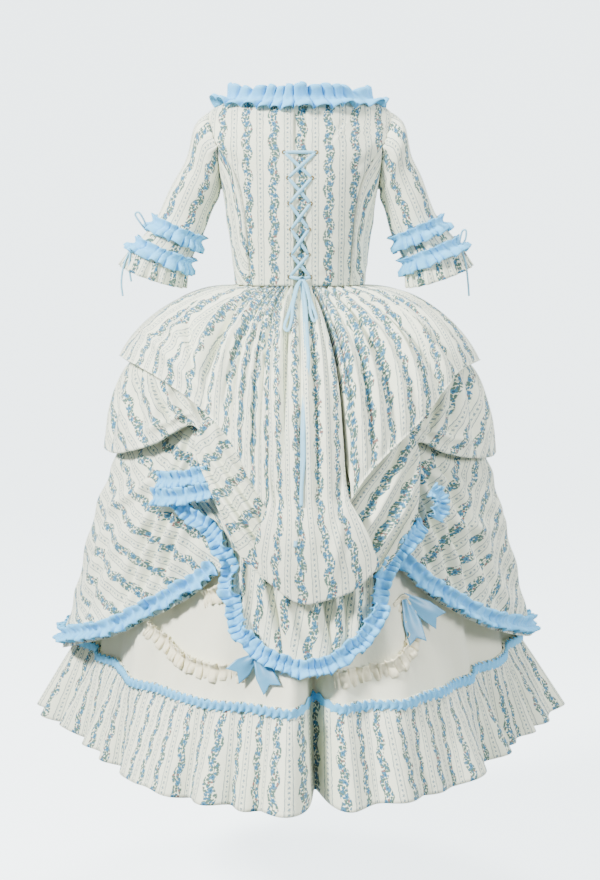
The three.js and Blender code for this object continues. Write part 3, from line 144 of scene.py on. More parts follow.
# Materials.
class Nodes:
    def __init__(self, name):
        self.material = bpy.data.materials.new(name)
        self.material.use_nodes = True
        self.tree = self.material.node_tree
        self.tree.nodes.clear()
        self.out = self.tree.nodes.new("ShaderNodeOutputMaterial")
        self.bsdf = self.tree.nodes.new("ShaderNodeBsdfPrincipled")
        self.tree.links.new(self.bsdf.outputs[0], self.out.inputs[0])

    def put(self, socket, value):
        if isinstance(value, bpy.types.NodeSocket):
            self.tree.links.new(value, socket)
        elif value is not None:
            socket.default_value = value

    def math(self, operation, *values):
        node = self.tree.nodes.new("ShaderNodeMath")
        node.operation = operation
        for socket, value in zip(node.inputs, values):
            self.put(socket, value)
        return node.outputs[0]

    def mix(self, share, a, b):
        node = self.tree.nodes.new("ShaderNodeMix")
        node.data_type = "RGBA"
        self.put(node.inputs[0], share)
        self.put(node.inputs[6], a)
        self.put(node.inputs[7], b)
        return node.outputs[2]

    def step(self, value, low, high):
        node = self.tree.nodes.new("ShaderNodeMapRange")
        node.interpolation_type = "SMOOTHSTEP"
        self.put(node.inputs[0], value)
        for k, x in zip((1, 2, 3, 4), (low, high, 0.0, 1.0)):
            node.inputs[k].default_value = x
        return node.outputs[0]

    def place(self):
        return self.tree.nodes.new("ShaderNodeTexCoord").outputs["Object"]

    def coords(self):
        node = self.tree.nodes.new("ShaderNodeUVMap")
        node.uv_map = "cloth"
        return node.outputs[0]

    def noise(self, vector, scale, detail=2.0, output="Fac"):
        node = self.tree.nodes.new("ShaderNodeTexNoise")
        self.put(node.inputs["Vector"], vector)
        node.inputs["Scale"].default_value = scale
        node.inputs["Detail"].default_value = detail
        return node.outputs[output]

    def voronoi(self, vector, scale):
        node = self.tree.nodes.new("ShaderNodeTexVoronoi")
        node.voronoi_dimensions = "2D"
        self.put(node.inputs["Vector"], vector)
        node.inputs["Scale"].default_value = scale
        return node

    def split(self, vector):
        node = self.tree.nodes.new("ShaderNodeSeparateXYZ")
        self.put(node.inputs[0], vector)
        return node.outputs

    def join(self, x, y):
        node = self.tree.nodes.new("ShaderNodeCombineXYZ")
        self.put(node.inputs[0], x)
        self.put(node.inputs[1], y)
        return node.outputs[0]

    def bump(self, height, distance, strength=1.0, normal=None):
        node = self.tree.nodes.new("ShaderNodeBump")
        node.inputs["Strength"].default_value = strength
        node.inputs["Distance"].default_value = distance
        self.put(node.inputs["Height"], height)
        self.put(node.inputs["Normal"], normal)
        return node.outputs[0]

    def finish(self, colour, roughness, sheen=0.15, normal=None, metallic=0.0):
        self.put(self.bsdf.inputs["Base Color"], colour)
        self.bsdf.inputs["Roughness"].default_value = roughness
        self.bsdf.inputs["Metallic"].default_value = metallic
        self.bsdf.inputs["Sheen Weight"].default_value = sheen
        self.bsdf.inputs["Sheen Roughness"].default_value = 0.5
        self.put(self.bsdf.inputs["Normal"], normal)
        return self.material


def rgb(code):
    parts = [int(code[k:k + 2], 16) / 255 for k in (1, 3, 5)]
    return tuple(c / 12.92 if c <= 0.04045 else ((c + 0.055) / 1.055) ** 2.4 for c in parts) + (1.0,)


def weave_normal(n, uv):
    crumple = n.noise(uv, 0.055, 3.0)
    fine = n.noise(uv, 0.45, 2.0)
    soft = n.bump(crumple, 0.0016, 0.55)
    return n.bump(fine, 0.0003, 0.5, soft)


def printed_cotton():
    """Floral garlands between thin striped bands. The u of the cloth runs across the stripes, in mm."""
    n = Nodes("printed cotton")
    uv = n.coords()

    def plus(a, b):
        return n.math("ADD", a, b)

    def minus(a, b):
        return n.math("SUBTRACT", a, b)

    def times(a, b):
        return n.math("MULTIPLY", a, b)

    def distance(a, b):
        return n.math("SQRT", plus(times(a, a), times(b, b)))

    shift = n.split(n.noise(uv, 0.11, 1.0, "Color"))
    u, v = n.split(uv)[:2]
    u = plus(u, times(minus(shift[0], 0.5), 3.6))
    v = plus(v, times(minus(shift[1], 0.5), 5.0))
    x = n.math("WRAP", u, REPEAT / 2, -REPEAT / 2)
    side = n.math("ABSOLUTE", x)

    # The garland: a winding stem, leaves and buds round it, and a flower at each turn.
    winding = times(n.math("SINE", times(v, 2 * math.pi / 48)), 3.4)
    from_stem = n.math("ABSOLUTE", minus(x, winding))
    stem = n.step(from_stem, 0.9, 0.4)
    cells = n.voronoi(n.join(u, v), 0.235)
    kind = n.split(cells.outputs["Color"])[0]
    blob = times(n.step(cells.outputs["Distance"], 0.6, 0.5), n.step(from_stem, 10.2, 8.6))
    leaf = times(blob, n.step(kind, 0.06, 0.08))
    bud = times(blob, n.step(kind, 0.66, 0.68))
    pink = times(blob, n.step(kind, 0.94, 0.95))
    along = n.math("WRAP", v, FLOWER_STEP / 2, -FLOWER_STEP / 2)
    count = n.math("FLOOR", n.math("DIVIDE", plus(v, FLOWER_STEP / 2), FLOWER_STEP))
    turn = times(n.math("SINE", times(count, math.pi * 1.37)), 4.2)
    fx = minus(x, turn)
    radius = distance(fx, along)
    petals = times(n.math("COSINE", times(n.math("ARCTAN2", along, fx), 5.0)), 0.9)
    flower = n.step(minus(radius, plus(petals, 4.3)), 0.5, -0.5)
    heart = n.step(radius, 2.1, 1.3)

    # The striped band: two thin lines and a row of small buds.
    band = minus(REPEAT / 2, side)
    lines = n.step(n.math("ABSOLUTE", minus(band, 6.6)), 0.95, 0.5)
    lines2 = times(n.step(n.math("ABSOLUTE", minus(band, 4.6)), 0.6, 0.3), 0.5)
    dots = n.step(distance(band, n.math("WRAP", v, 4.6, -4.6)), 2.5, 1.7)
    specks = n.voronoi(n.join(u, v), 0.42)
    speck = times(n.step(specks.outputs["Distance"], 0.34, 0.24), n.step(band, 3.4, 2.6))

    colour = n.mix(n.noise(uv, 0.012, 2.0), rgb("#EEF1DC"), rgb("#E6EBD1"))
    layers = [
        (lines, 0.85, "#56707A"), (lines2, 1, "#8A9A92"), (speck, 0.55, "#55695F"), (dots, 0.8, "#4F7482"),
        (stem, 0.85, "#284640"), (leaf, 0.95, "#2F584F"), (bud, 0.95, "#326A84"), (pink, 0.9, "#875C50"),
        (flower, 1, "#3B7999"), (heart, 1, "#1C4A64"),
    ]
    for share, strength, code in layers:
        colour = n.mix(times(share, strength), colour, rgb(code))
    return n.finish(colour, 0.9, 0.2, weave_normal(n, uv))


def plain_cloth(name, light, dark, roughness=0.88, sheen=0.2):
    n = Nodes(name)
    uv = n.coords()
    colour = n.mix(n.noise(uv, 0.03, 2.0), rgb(light), rgb(dark))
    return n.finish(colour, roughness, sheen, weave_normal(n, uv))


def satin(name, light, dark, roughness):
    n = Nodes(name)
    uv = n.coords()
    colour = n.mix(n.noise(uv, 0.06, 1.0), rgb(light), rgb(dark))
    ribs = n.noise(uv, 0.9, 1.0)
    material = n.finish(colour, roughness, 0.1, n.bump(ribs, 0.0002, 0.4))
    n.bsdf.inputs["Anisotropic"].default_value = 0.3
    return material


def brass():
    n = Nodes("eyelet brass")
    colour = n.mix(n.noise(n.place(), 300.0, 2.0), rgb("#7A6843"), rgb("#564629"))
    return n.finish(colour, 0.38, 0.0, None, 0.9)


PRINT = printed_cotton()
CREAM = plain_cloth("cream cotton", "#ECECD6", "#E5E5CC")
FRILL_CREAM = plain_cloth("cream frill", "#EFE9CC", "#E6DEBB")
BLUE = plain_cloth("blue cotton", "#6AC4F0", "#58B2E6", 0.8, 0.1)
LACE = satin("lacing ribbon", "#8CC6DF", "#78B6D1", 0.5)
SATIN = satin("satin ribbon", "#4E9BC2", "#3F8AB3", 0.36)
BRASS = brass()


# Meshes.
def mesh_object(name, verts, faces, uvs, material):
    mesh = bpy.data.meshes.new(name)
    mesh.from_pydata((np.asarray(verts) * MM).tolist(), [], np.asarray(faces).tolist())
    layer = mesh.uv_layers.new(name="cloth")
    layer.data.foreach_set("uv", np.asarray(uvs, float).reshape(-1))
    mesh.polygons.foreach_set("use_smooth", [True] * len(mesh.polygons))
    mesh.materials.append(material)
    obj = bpy.data.objects.new(f"{name}_look", mesh)
    scene.collection.objects.link(obj)
    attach(obj, BODY)
    return obj


def grid_mesh(points, print_at, around=False, start=0):
    rows, columns = points.shape[:2]
    span = columns if around else columns - 1
    j, i = np.meshgrid(np.arange(rows - 1), np.arange(span), indexing="ij")
    k = (i + 1) % columns
    faces = np.stack([j * columns + i, (j + 1) * columns + i, (j + 1) * columns + k, j * columns + k], -1)
    uvs = np.stack([print_at[j, i], print_at[j + 1, i], print_at[j + 1, i + 1], print_at[j, i + 1]], -2)
    return points.reshape(-1, 3), faces.reshape(-1, 4) + start, uvs.reshape(-1, 2)


def measured(points, around):
    """How wide and how long the cloth is, and its area, in metres."""
    closed = np.concatenate([points, points[:, :1]], 1) if around else points
    across = np.linalg.norm(np.diff(closed, axis=1), axis=2).sum(1)
    down = np.linalg.norm(np.diff(closed, axis=0), axis=2).sum(0)
    a, b, c, d = closed[:-1, :-1], closed[1:, :-1], closed[1:, 1:], closed[:-1, 1:]
    area = np.linalg.norm(np.cross(b - a, c - a), axis=2).sum() / 2
    area += np.linalg.norm(np.cross(c - a, d - a), axis=2).sum() / 2
    return across.max() * MM, down.max() * MM, area * MM * MM


def cloth(name, points, print_at, material, nodes, held, rests_on=(), around=False, thick=CLOTH, more=()):
    """A thin shell of cloth on a grid of points."""
    verts, faces, uvs = grid_mesh(points, print_at, around)
    wide, long, area = measured(points, around)
    for extra_points, extra_print in more:
        v, f, t = grid_mesh(extra_points, extra_print, False, len(verts))
        verts = np.concatenate([verts, v])
        faces = np.concatenate([faces, f])
        uvs = np.concatenate([uvs, t])
        size = measured(extra_points, False)
        wide += size[0]
        area += size[2]
    obj = mesh_object(name, verts, faces, uvs, material)
    shell = obj.modifiers.new("shell", "SOLIDIFY")
    shell.thickness = thick * MM
    shell.offset = -1
    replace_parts(obj, *nodes)
    length = max(long, area / wide)
    if area < 0.32 * wide * length:
        wide = area / (0.4 * length)
    return obj


def ruffle(name, made, rests_on, material=BLUE, around=False, more=()):
    """A gathered strip of thinner cloth: its grid and print. The pieces it lies on are not used."""
    cloth(name, *made, material, [name], "gathered", rests_on, around, FRILL_CLOTH, more)


def straight_print(points, u_size, v_size=None, u_start=0.0, around=False):
    """Stripes run down the columns of the grid. Sizes are in mm of cloth."""
    rows, columns = points.shape[:2]
    if around:
        columns += 1
    if v_size is None:
        v_size = np.linalg.norm(np.diff(points, axis=0), axis=2).sum(0).mean()
    v, u = np.meshgrid(np.linspace(0, v_size, rows), np.linspace(0, u_size, columns), indexing="ij")
    return np.stack([u + u_start, v], -1)


def row_run(points):
    """How far each point lies along its row, in mm."""
    steps = np.linalg.norm(np.diff(points, axis=1), axis=2)
    return np.concatenate([np.zeros((len(points), 1)), np.cumsum(steps, 1)], 1)


def mean_drop(points):
    """How far down each row lies on average, in mm, as a column."""
    down = np.linalg.norm(np.diff(points, axis=0), axis=2).mean(1)
    return np.concatenate([[0], np.cumsum(down)])[:, None]


def pleat_lines(rows, v):
    """Where a panel's pleats are at one height, with the panel's two edges."""
    return np.array([0.0] + [lerp(r[0], r[1], min(v / r[2], 1)) for r in rows] + [1.0])


def pleat_columns(rows, columns):
    """The grid's columns that the pleats keep to."""
    return np.round(pleat_lines(rows, 0.6) * columns).astype(int)


def along_pleats(u, v, rows):
    columns = u.shape[1] - 1
    fixed = pleat_columns(rows, columns) / columns
    return np.array([np.interp(u[j], fixed, pleat_lines(rows, v[j, 0])) for j in range(len(u))])


def pleated_print(base, rows, phase, fan):
    """Stripes that come out of knife pleats: each pleat shows a stripe of its own, and hides less
    of the cloth lower down. base is the smooth panel, rows the table of its pleats. Between the two
    shares of fan the stripes run straight out of fine gathers."""
    count, columns = base.shape[:2]
    run = row_run(base)
    ends = pleat_columns(rows, columns - 1)
    middle = (ends[1:] + ends[:-1]) // 2
    cell = np.clip(np.searchsorted(ends, np.arange(columns), side="right") - 1, 0, len(middle) - 1)
    exact = run[-1, middle]
    shown = np.round((exact - phase) / REPEAT) * REPEAT + phase
    v = np.linspace(0, 1, count)[:, None]
    home = lerp(shown, exact, smooth(v, 0.25, 1.0))
    across = home[:, cell] - phase + run - run[:, middle][:, cell]
    at = middle[cell] / (columns - 1)
    across = np.where((at > fan[0]) & (at < fan[1]), run[-1] - phase, across)
    return paired(across, mean_drop(base))


def fan_print(base, top, anchor, u_start=0.0):
    """Stripes that fan out of the pleats at the waist and lie at their true distance lower down.

    base is the smooth panel, top how much cloth the pleats hold, anchor the column that keeps its place."""
    run = row_run(base)
    whole = run[:, -1:]
    rows = len(base)
    v = np.linspace(0, 1, rows)[:, None]
    total = np.maximum(whole, lerp(top, whole[-1, 0], v))
    share = run / whole
    column = int(anchor * (base.shape[1] - 1))
    share = share - share[:, column:column + 1]
    return paired(share * total + u_start, mean_drop(base))


def turned_print(base, anchor, angle, u_start=0.0, wave=0.0):
    """Stripes at an angle to the panel's columns, at their true distance."""
    run = row_run(base)
    column = int(anchor * (base.shape[1] - 1))
    run = run - run[:, column:column + 1]
    down = np.linalg.norm(np.diff(base, axis=0), axis=2)
    down = np.concatenate([np.zeros((1, base.shape[1])), np.cumsum(down, 0)])
    down = lerp(down, down.mean(1, keepdims=True), 0.5)
    down = down + wave * np.sin(run / 55.0 + 1.5 * np.sin(down / 90.0))
    a = math.radians(angle)
    across = run * math.cos(a) + down * math.sin(a)
    return np.stack([across + u_start, down * math.cos(a) - run * math.sin(a)], -1)


def ripples(u, v, size, seed, strength=1.0):
    """Fine uneven creases that run down the cloth."""
    wide, long = size
    total = 0 * u
    for length, high, drift in ((74, 2.6, 0.9), (43, 1.8, 0.7), (27, 1.1, 0.5)):
        path = u * wide / length + drift * np.sin(v * long / 150.0 + seed + length)
        path = path + 0.35 * np.sin(u * wide / (length * 2.7) + 2 * seed)
        total = total + high * np.sin(2 * np.pi * path + seed * length) * (0.6 + 0.4 * np.sin(
            v * long / 90.0 + 3 * seed + u * wide / 110.0))
    return strength * total


def ridges(u, v, size, rows, wider=1.0):
    """Folds drawn one by one: each runs from one point of the piece to another, so wide and so high.

    The width and the height are in mm, and a negative height is a hollow."""
    total = np.zeros_like(u)
    wide, long = size
    for u0, v0, u1, v1, width, height in rows:
        dx, dy = (u1 - u0) * wide, (v1 - v0) * long
        x, y = (u - u0) * wide, (v - v0) * long
        q = np.clip((x * dx + y * dy) / (dx * dx + dy * dy), 0, 1)
        d = np.hypot(x - q * dx, y - q * dy)
        fade = np.sin(np.pi * (0.08 + 0.84 * q)) ** 0.6
        total += 1.75 * height * fade * np.exp(-((d / (width * wider)) ** 2))
    return total


def pleats(u, v, wide, rows):
    """Knife pleats at the waist: each has its place at the top and at its end, how far down it goes,
    its width and its depth in mm. The fold is sharp on one side."""
    total = np.zeros_like(u)
    for top, end, reach, width, depth in rows:
        d = (u - lerp(top, end, np.clip(v / reach, 0, 1))) * wide
        fade = np.clip(1 - v / reach, 0, 1) ** 0.8
        open_side = np.exp(-np.abs(d) / width)
        sharp_side = np.exp(-np.abs(d) / (width * 0.22))
        total -= 2.5 * depth * fade * np.where(d > 0, sharp_side, open_side)
    return total


# The lacing's free ends: the route's points are those of the solids.
TAIL_LONG = [
    (4, -113.9, -315.9), (4, -133, -330), (5, -156, -338), (6, -181, -349), (8, -213, -364),
    (9, -243, -384), (11, -287, -420), (13, -318, -456), (10, -347, -501), (6, -370, -547),
    (4, -389, -592), (4, -403, -636), (0, -417, -681), (-2, -430, -718), (-5, -444, -751),
    (-9, -456, -791),
]
TAIL_SHORT = [
    (5, -118.9, -317.1), (7, -136, -327), (8, -159, -335), (9, -184, -346), (11, -216, -361),
    (12, -246, -381), (14, -290, -418), (15, -306, -435), (16, -321, -454), (13, -350, -500),
    (9, -373, -546), (7, -392, -591), (7, -406, -636), (3, -420, -681), (2, -433, -718),
]


def ribbon_grid(line, side, out, width, thick, cup=0.0):
    """Rings of a flat ribbon along a line: four corners with the width along side."""
    w = np.asarray(width, float) / 2
    w = np.broadcast_to(w, (len(line),))[:, None]
    low = line - side * w
    high = line + side * w
    middle = line + out * cup
    ring = [low, middle, high, high + out * thick, middle + out * thick, low + out * thick]
    return np.stack(ring, 1)


def ribbon_mesh(rings, start=0):
    count, corners = rings.shape[:2]
    j, i = np.meshgrid(np.arange(count - 1), np.arange(corners), indexing="ij")
    k = (i + 1) % corners
    low, high = j * corners, (j + 1) * corners
    faces = np.stack([low + i, low + k, high + k, high + i], -1).reshape(-1, 4)
    run = np.concatenate([[0], np.cumsum(np.linalg.norm(np.diff(rings[:, 0], axis=0), axis=1))])
    across = np.array([0, 3.5, 7, 7, 3.5, 0, 0.0])
    cell = ((i, j), (i + 1, j), (i + 1, j + 1), (i, j + 1))
    uvs = np.stack([np.stack([across[a], run[b]], -1) for a, b in cell], -2).reshape(-1, 2)
    ends = []
    for ring_at in (0, count - 1):
        r = ring_at * corners
        quads = [[r, r + 1, r + 4, r + 5], [r + 1, r + 2, r + 3, r + 4]]
        ends += quads if ring_at else [q[::-1] for q in quads]
    faces = np.concatenate([faces, np.array(ends)]) + start
    uvs = np.concatenate([uvs, np.zeros((len(ends) * 4, 2))])
    return rings.reshape(-1, 3), faces, uvs


def ribbons(name, parts):
    """One piece made of several ribbons."""
    made, start = [], 0
    for rings in parts:
        made.append(ribbon_mesh(rings, start))
        start += len(made[-1][0])
    obj = mesh_object(name, *(np.concatenate(m) for m in zip(*made)), LACE)
    return obj


def free_ribbon(name, route):
    line = spline(route, np.linspace(0, len(route) - 1, 121))
    along = unit(np.gradient(line, axis=0))
    side = unit(np.array([1.0, 0, 0]) - along * along[:, :1])
    out = unit(np.cross(side, along))
    out *= np.where(out[:, 1:2] > 0, -1, 1)
    obj = ribbons(name, [ribbon_grid(line, side, out, LACE_WIDTH, LACE_THICK)])
    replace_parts(obj, name)


free_ribbon("lacing_tail_long", TAIL_LONG)
free_ribbon("lacing_tail_short", TAIL_SHORT)

# Forms: half width and height at the sides, depth and height at the back and at the front.
DRAPE_FORM = [
    (135, -325, 100, -325, 105, -325), (200, -333, 155, -343, 125, -350),
    (262, -358, 215, -372, 160, -390), (330, -410, 280, -420, 200, -440),
    (378, -475, 335, -488, 235, -500), (405, -570, 380, -580, 270, -580),
    (424, -680, 415, -690, 310, -690), (440, -800, 445, -800, 350, -800),
    (465, -950, 480, -950, 400, -950), (505, -1080, 515, -1080, 450, -1080),
    (550, -1250, 575, -1250, 500, -1250),
]
PETTICOAT_FORM = [
    (131.8, -312, 93.8, -312, 101.5, -312), (131.8, -333, 93.8, -333, 101.5, -333),
    (238, -430, 200, -430, 160, -430), (335, -620, 318, -620, 235, -620),
    (380, -860, 392, -860, 330, -860), (472, -1096, 498, -1096, 442, -1096),
]
HEM_LOBES = [
    (0, 1.04), (20, 0.98), (35, 0.95), (48, 0.88), (62, 0.85), (76, 0.88), (90, 0.99), (102, 1.04),
    (125, 0.99), (180, 0.97),
]
LOBES_FROM_Z = -780


def from_back(turn):
    """The turn from the middle of the back, between -180 and 180."""
    return (np.asarray(turn, float) + 540) % 360 - 180


def hem_lobe(turn):
    signed = from_back(turn)
    a = np.abs(signed)
    turns = np.array([r[0] for r in HEM_LOBES], float)
    shares = np.array([r[1] for r in HEM_LOBES])
    i = np.clip(np.searchsorted(turns, a, side="right") - 1, 0, len(turns) - 2)
    f = smooth((a - turns[i]) / (turns[i + 1] - turns[i]), 0, 1)
    fold = np.exp(-(((signed - 4) / 4) ** 2))
    return lerp(shares[i], shares[i + 1], f) - 0.1 * fold


def ring(form, turn, level):
    r = spline(form, level)
    t = np.radians(turn)
    s, c = np.sin(t), np.cos(t)
    depth = np.where(c > 0, r[..., 2], r[..., 4])
    z = np.where(c > 0, r[..., 3], r[..., 5])
    return np.stack([r[..., 0] * s, -depth * c, r[..., 1] * s * s + z * c * c], -1)


def on_form(form, turn, level, out=0.0):
    turn, level, out = np.broadcast_arrays(*(np.asarray(a, float) for a in (turn, level, out)))
    last = len(form) - 1
    du = ring(form, turn + 0.2, level) - ring(form, turn - 0.2, level)
    dv = ring(form, turn, np.minimum(level + 0.01, last)) - ring(form, turn, np.maximum(level - 0.01, 0))
    return ring(form, turn, level) + unit(np.cross(dv, du)) * out[..., None]


# Bodice rows from the neckline to the waist: centre edge y and z, outer edge x, y, z, and the bend.
BACK_ROWS = [
    (-72, 53, 147, -1, 51, 88), (-84, 22, 188, -1, 27, 76), (-96, -12, 181, -34, -6, 62),
    (-103, -48, 167, -58, -45, 55), (-108, -86, 139, -72, -85, 50), (-111, -130, 121, -76, -130, 50),
    (-111, -190, 111, -77, -190, 48), (-106, -258, 105, -72, -258, 49),
    (-100, WAIST_Z, 102, -65.5, WAIST_Z, 49),
]
FRONT_ROWS = [
    (84, -42, 147, 1, 51, 88), (94, -52, 188, 1, 27, 76), (103, -62, 181, 34, -6, 62),
    (112, -76, 167, 58, -45, 55), (120, -98, 141, 76, -85, 50), (123, -134, 123, 82, -130, 50),
    (118, -190, 112, 82, -190, 48), (111, -258, 105, 76, -258, 49),
    (105, WAIST_Z, 102, 68.7, WAIST_Z, 49),
]
BACK_EDGE_X = 13


def bodice_point(row, u, centre_x):
    y, z, out_x, out_y, out_z, bend = np.moveaxis(row, -1, 0)
    full = np.radians(bend)
    a = u * full
    x = lerp(centre_x, out_x, np.sin(a) / np.sin(full))
    drop = (1 - np.cos(a)) / (1 - np.cos(full))
    return np.stack([x, lerp(y, out_y, drop), lerp(z, out_z, drop**1.5)], -1)


def row_print(points, start_column=0, u_start=0.0):
    """Stripes that keep their distance from one edge of the piece."""
    run = row_run(points)
    run = run - run[:, start_column:start_column + 1]
    down = np.broadcast_to(-points[:, points.shape[1] // 2, 2][:, None], run.shape)
    return np.stack([run + u_start, down], -1)


GARLAND_X = 3
SIDE_SEAM_DIP = 1.6


def back_grid(sign):
    u, v = share_grid(40, 70)
    row = spline(BACK_ROWS, v * (len(BACK_ROWS) - 1))
    points = bodice_point(row, u, BACK_EDGE_X)
    size = (120, 390)
    seam = -SIDE_SEAM_DIP * np.exp(-(1 - u) * size[0] / 2.5) * smooth(v, 0.33, 0.42)
    seam += 0.8 * np.exp(-u * size[0] / 3.0)
    folds = ridges(u, v, size, [
        (0.15, 0.95, 0.55, 0.88, 6, 0.9), (0.3, 0.98, 0.8, 0.93, 5, 0.8), (0.5, 0.86, 0.95, 0.8, 7, 0.8),
        (0.95, 0.42, 0.7, 0.55, 9, -0.9), (0.9, 0.2, 0.75, 0.42, 10, 0.9),
    ])
    if sign > 0:
        folds += ridges(u, v, size, [(0.36, 0.18, 0.27, 0.33, 1.4, -3.0), (0.4, 0.17, 0.31, 0.33, 3.0, 1.0)])
    points = points + grid_normals(points) * (seam + folds)[..., None]
    points[..., 0] *= sign
    print_at = row_print(points, 0, BACK_EDGE_X - GARLAND_X * sign)
    if sign < 0:
        points = points[:, ::-1]
        print_at = print_at[:, ::-1] * np.array([-1.0, 1.0])
    return points, print_at


def front_grid():
    u, v = share_grid(60, 44)
    row = spline(FRONT_ROWS, v * (len(FRONT_ROWS) - 1))
    side = 1 - 2 * u
    points = bodice_point(row, np.abs(side), 0)
    points[..., 0] *= np.sign(side)
    return points, row_print(points, 30)


TORSO_SIDES = [(-45, 168), (-130, 160), (-190, 152), (-258, 143), (WAIST_Z, 135)]
UNDERARM_Z = -130
SIDE_SEAM_TURN = 49


def torso_wide(z):
    return np.interp(-z, [-r[0] for r in TORSO_SIDES], [r[1] for r in TORSO_SIDES])


def side_grid(sign):
    u, v = share_grid(36, 44)
    back = spline(BACK_ROWS, 3 + v * 5)
    front = spline(FRONT_ROWS, 3 + v * 5)
    top_seam = BACK_ROWS[3][4]
    back_z = back[..., 4]
    top = lerp(UNDERARM_Z, back_z, (2 * u - 1) ** 2)
    share = (back_z - top_seam) / (WAIST_Z - top_seam)
    z = lerp(top, WAIST_Z, share)
    z = lerp(z, lerp(back_z, front[..., 4], u), (2 * u - 1) ** 8)
    turn = np.radians(lerp(SIDE_SEAM_TURN, 180 - SIDE_SEAM_TURN, u))
    start = math.sin(math.radians(SIDE_SEAM_TURN))
    arc = (np.sin(turn) - start) / (1 - start)
    seam_x = lerp(back[..., 2], front[..., 2], u)
    x = seam_x + (torso_wide(z) - seam_x) * arc
    share_y = np.cos(turn) / math.cos(math.radians(SIDE_SEAM_TURN))
    y = np.where(share_y > 0, back[..., 3] * share_y, -front[..., 3] * share_y)
    points = np.stack([x, y, z], -1)
    n = grid_normals(points)
    seam = -SIDE_SEAM_DIP * (np.exp(-u * 150 / 2.5) + np.exp(-(1 - u) * 150 / 2.5))
    folds = ridges(u, v, (150, 240), [
        (0.1, 0.9, 0.5, 0.8, 6, 0.9), (0.4, 0.97, 0.9, 0.85, 6, 0.9), (0.2, 0.3, 0.5, 0.5, 9, 1.0),
        (0.75, 0.25, 0.45, 0.42, 9, 1.0),
    ])
    points = points + n * (seam + folds)[..., None]
    points[..., 0] *= sign
    if sign < 0:
        points = points[:, ::-1]
    return points, row_print(points, 0, 9)


for side, sign in (("left", -1), ("right", 1)):
    for name, made in ((f"bodice_back_{side}", back_grid(sign)), (f"bodice_side_{side}", side_grid(sign))):
        cloth(name, *made, PRINT, [name], "stretched")
cloth("bodice_front", *front_grid(), PRINT, ["bodice_front"], "stretched")


def modesty_grid():
    u, v = share_grid(40, 44)
    row = spline(BACK_ROWS, v * (len(BACK_ROWS) - 1))
    y, z, out_x, out_y, out_z, bend = np.moveaxis(row, -1, 0)
    x = (2 * u - 1) * 46
    across = np.maximum(np.abs(x) - BACK_EDGE_X, 0) / (out_x - BACK_EDGE_X)
    a = np.arcsin(np.minimum(across * np.sin(np.radians(bend)), 1))
    drop = (1 - np.cos(a)) / (1 - np.cos(np.radians(bend)))
    points = np.stack([x, lerp(y, out_y, drop) + 2.9, lerp(z, out_z, drop**1.5) - 4 * (1 - v)], -1)
    dips = ridges(u, v, (92, 380), [
        (0.565, 0.81, 0.565, 0.87, 1.6, 5.0), (0.565, 0.9, 0.565, 0.96, 1.6, 5.0),
        (0.44, 0.5, 0.44, 0.95, 2.5, 0.8),
    ])
    points[..., 1] += dips
    return points, paired(points[..., 0] - GARLAND_X, -points[..., 2])


cloth("lacing_modesty_panel", *modesty_grid(), PRINT, ["lacing_modesty_panel"], "stretched",
      ["bodice_back_left", "bodice_back_right"])

# Eyelets from the top pair down to the waist: height and distance from the middle.
EYELETS = [(-58, 32), (-109, 24), (-160, 21), (-211, 18), (-261, 17.5), (-307, 21)]
# The ring's radius and its height over the cloth.
EYELET_PROFILE = [
    (2.0, -1.6), (2.0, 0.9), (2.5, 1.5), (3.4, 1.55), (4.1, 1.1), (4.4, 0.3), (3.2, 0.2), (2.3, -1.6),
]


def back_surface(sign, x, z):
    u, v = share_grid(240, 480)
    points = bodice_point(spline(BACK_ROWS, v * (len(BACK_ROWS) - 1)), u, BACK_EDGE_X)
    points[..., 0] *= sign
    d = np.hypot(points[..., 0] - x, points[..., 2] - z)
    j, i = np.unravel_index(np.argmin(d), d.shape)
    n = grid_normals(points)[j, i]
    return points[j, i], n * (1 if n[1] < 0 else -1)


eyelet_at = {}
for side, sign in (("left", -1), ("right", 1)):
    for k, (z, x) in enumerate(EYELETS):
        point, normal = back_surface(sign, sign * x, z)
        eyelet_at[side, k] = point, normal
        a = unit(np.cross(normal, [0, 0, 1.0]))
        b = np.cross(normal, a)
        angles = np.linspace(0, 2 * np.pi, 24, endpoint=False)
        rows = [
            [point + a * r * math.cos(t) + b * r * math.sin(t) + normal * h for t in angles]
            for r, h in EYELET_PROFILE
        ]
        rows.append(rows[0])
        grid = np.array(rows)
        verts, faces, uvs = grid_mesh(grid, np.zeros((len(rows), 25, 2)), True)
        obj = mesh_object(f"eyelet_{side}_{k + 1}", verts, faces, uvs, BRASS)
        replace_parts(obj, f"eyelet_{side}_{k + 1}")


# Ruffles.
FRILL_LEAN = 0.5
WAVE_COLUMNS = 12


def pleat_wave(phase, skew):
    """Pleats between 0 and 1, steeper on one side where they are skewed."""
    return 0.5 - 0.5 * np.cos(phase + skew * np.sin(phase))


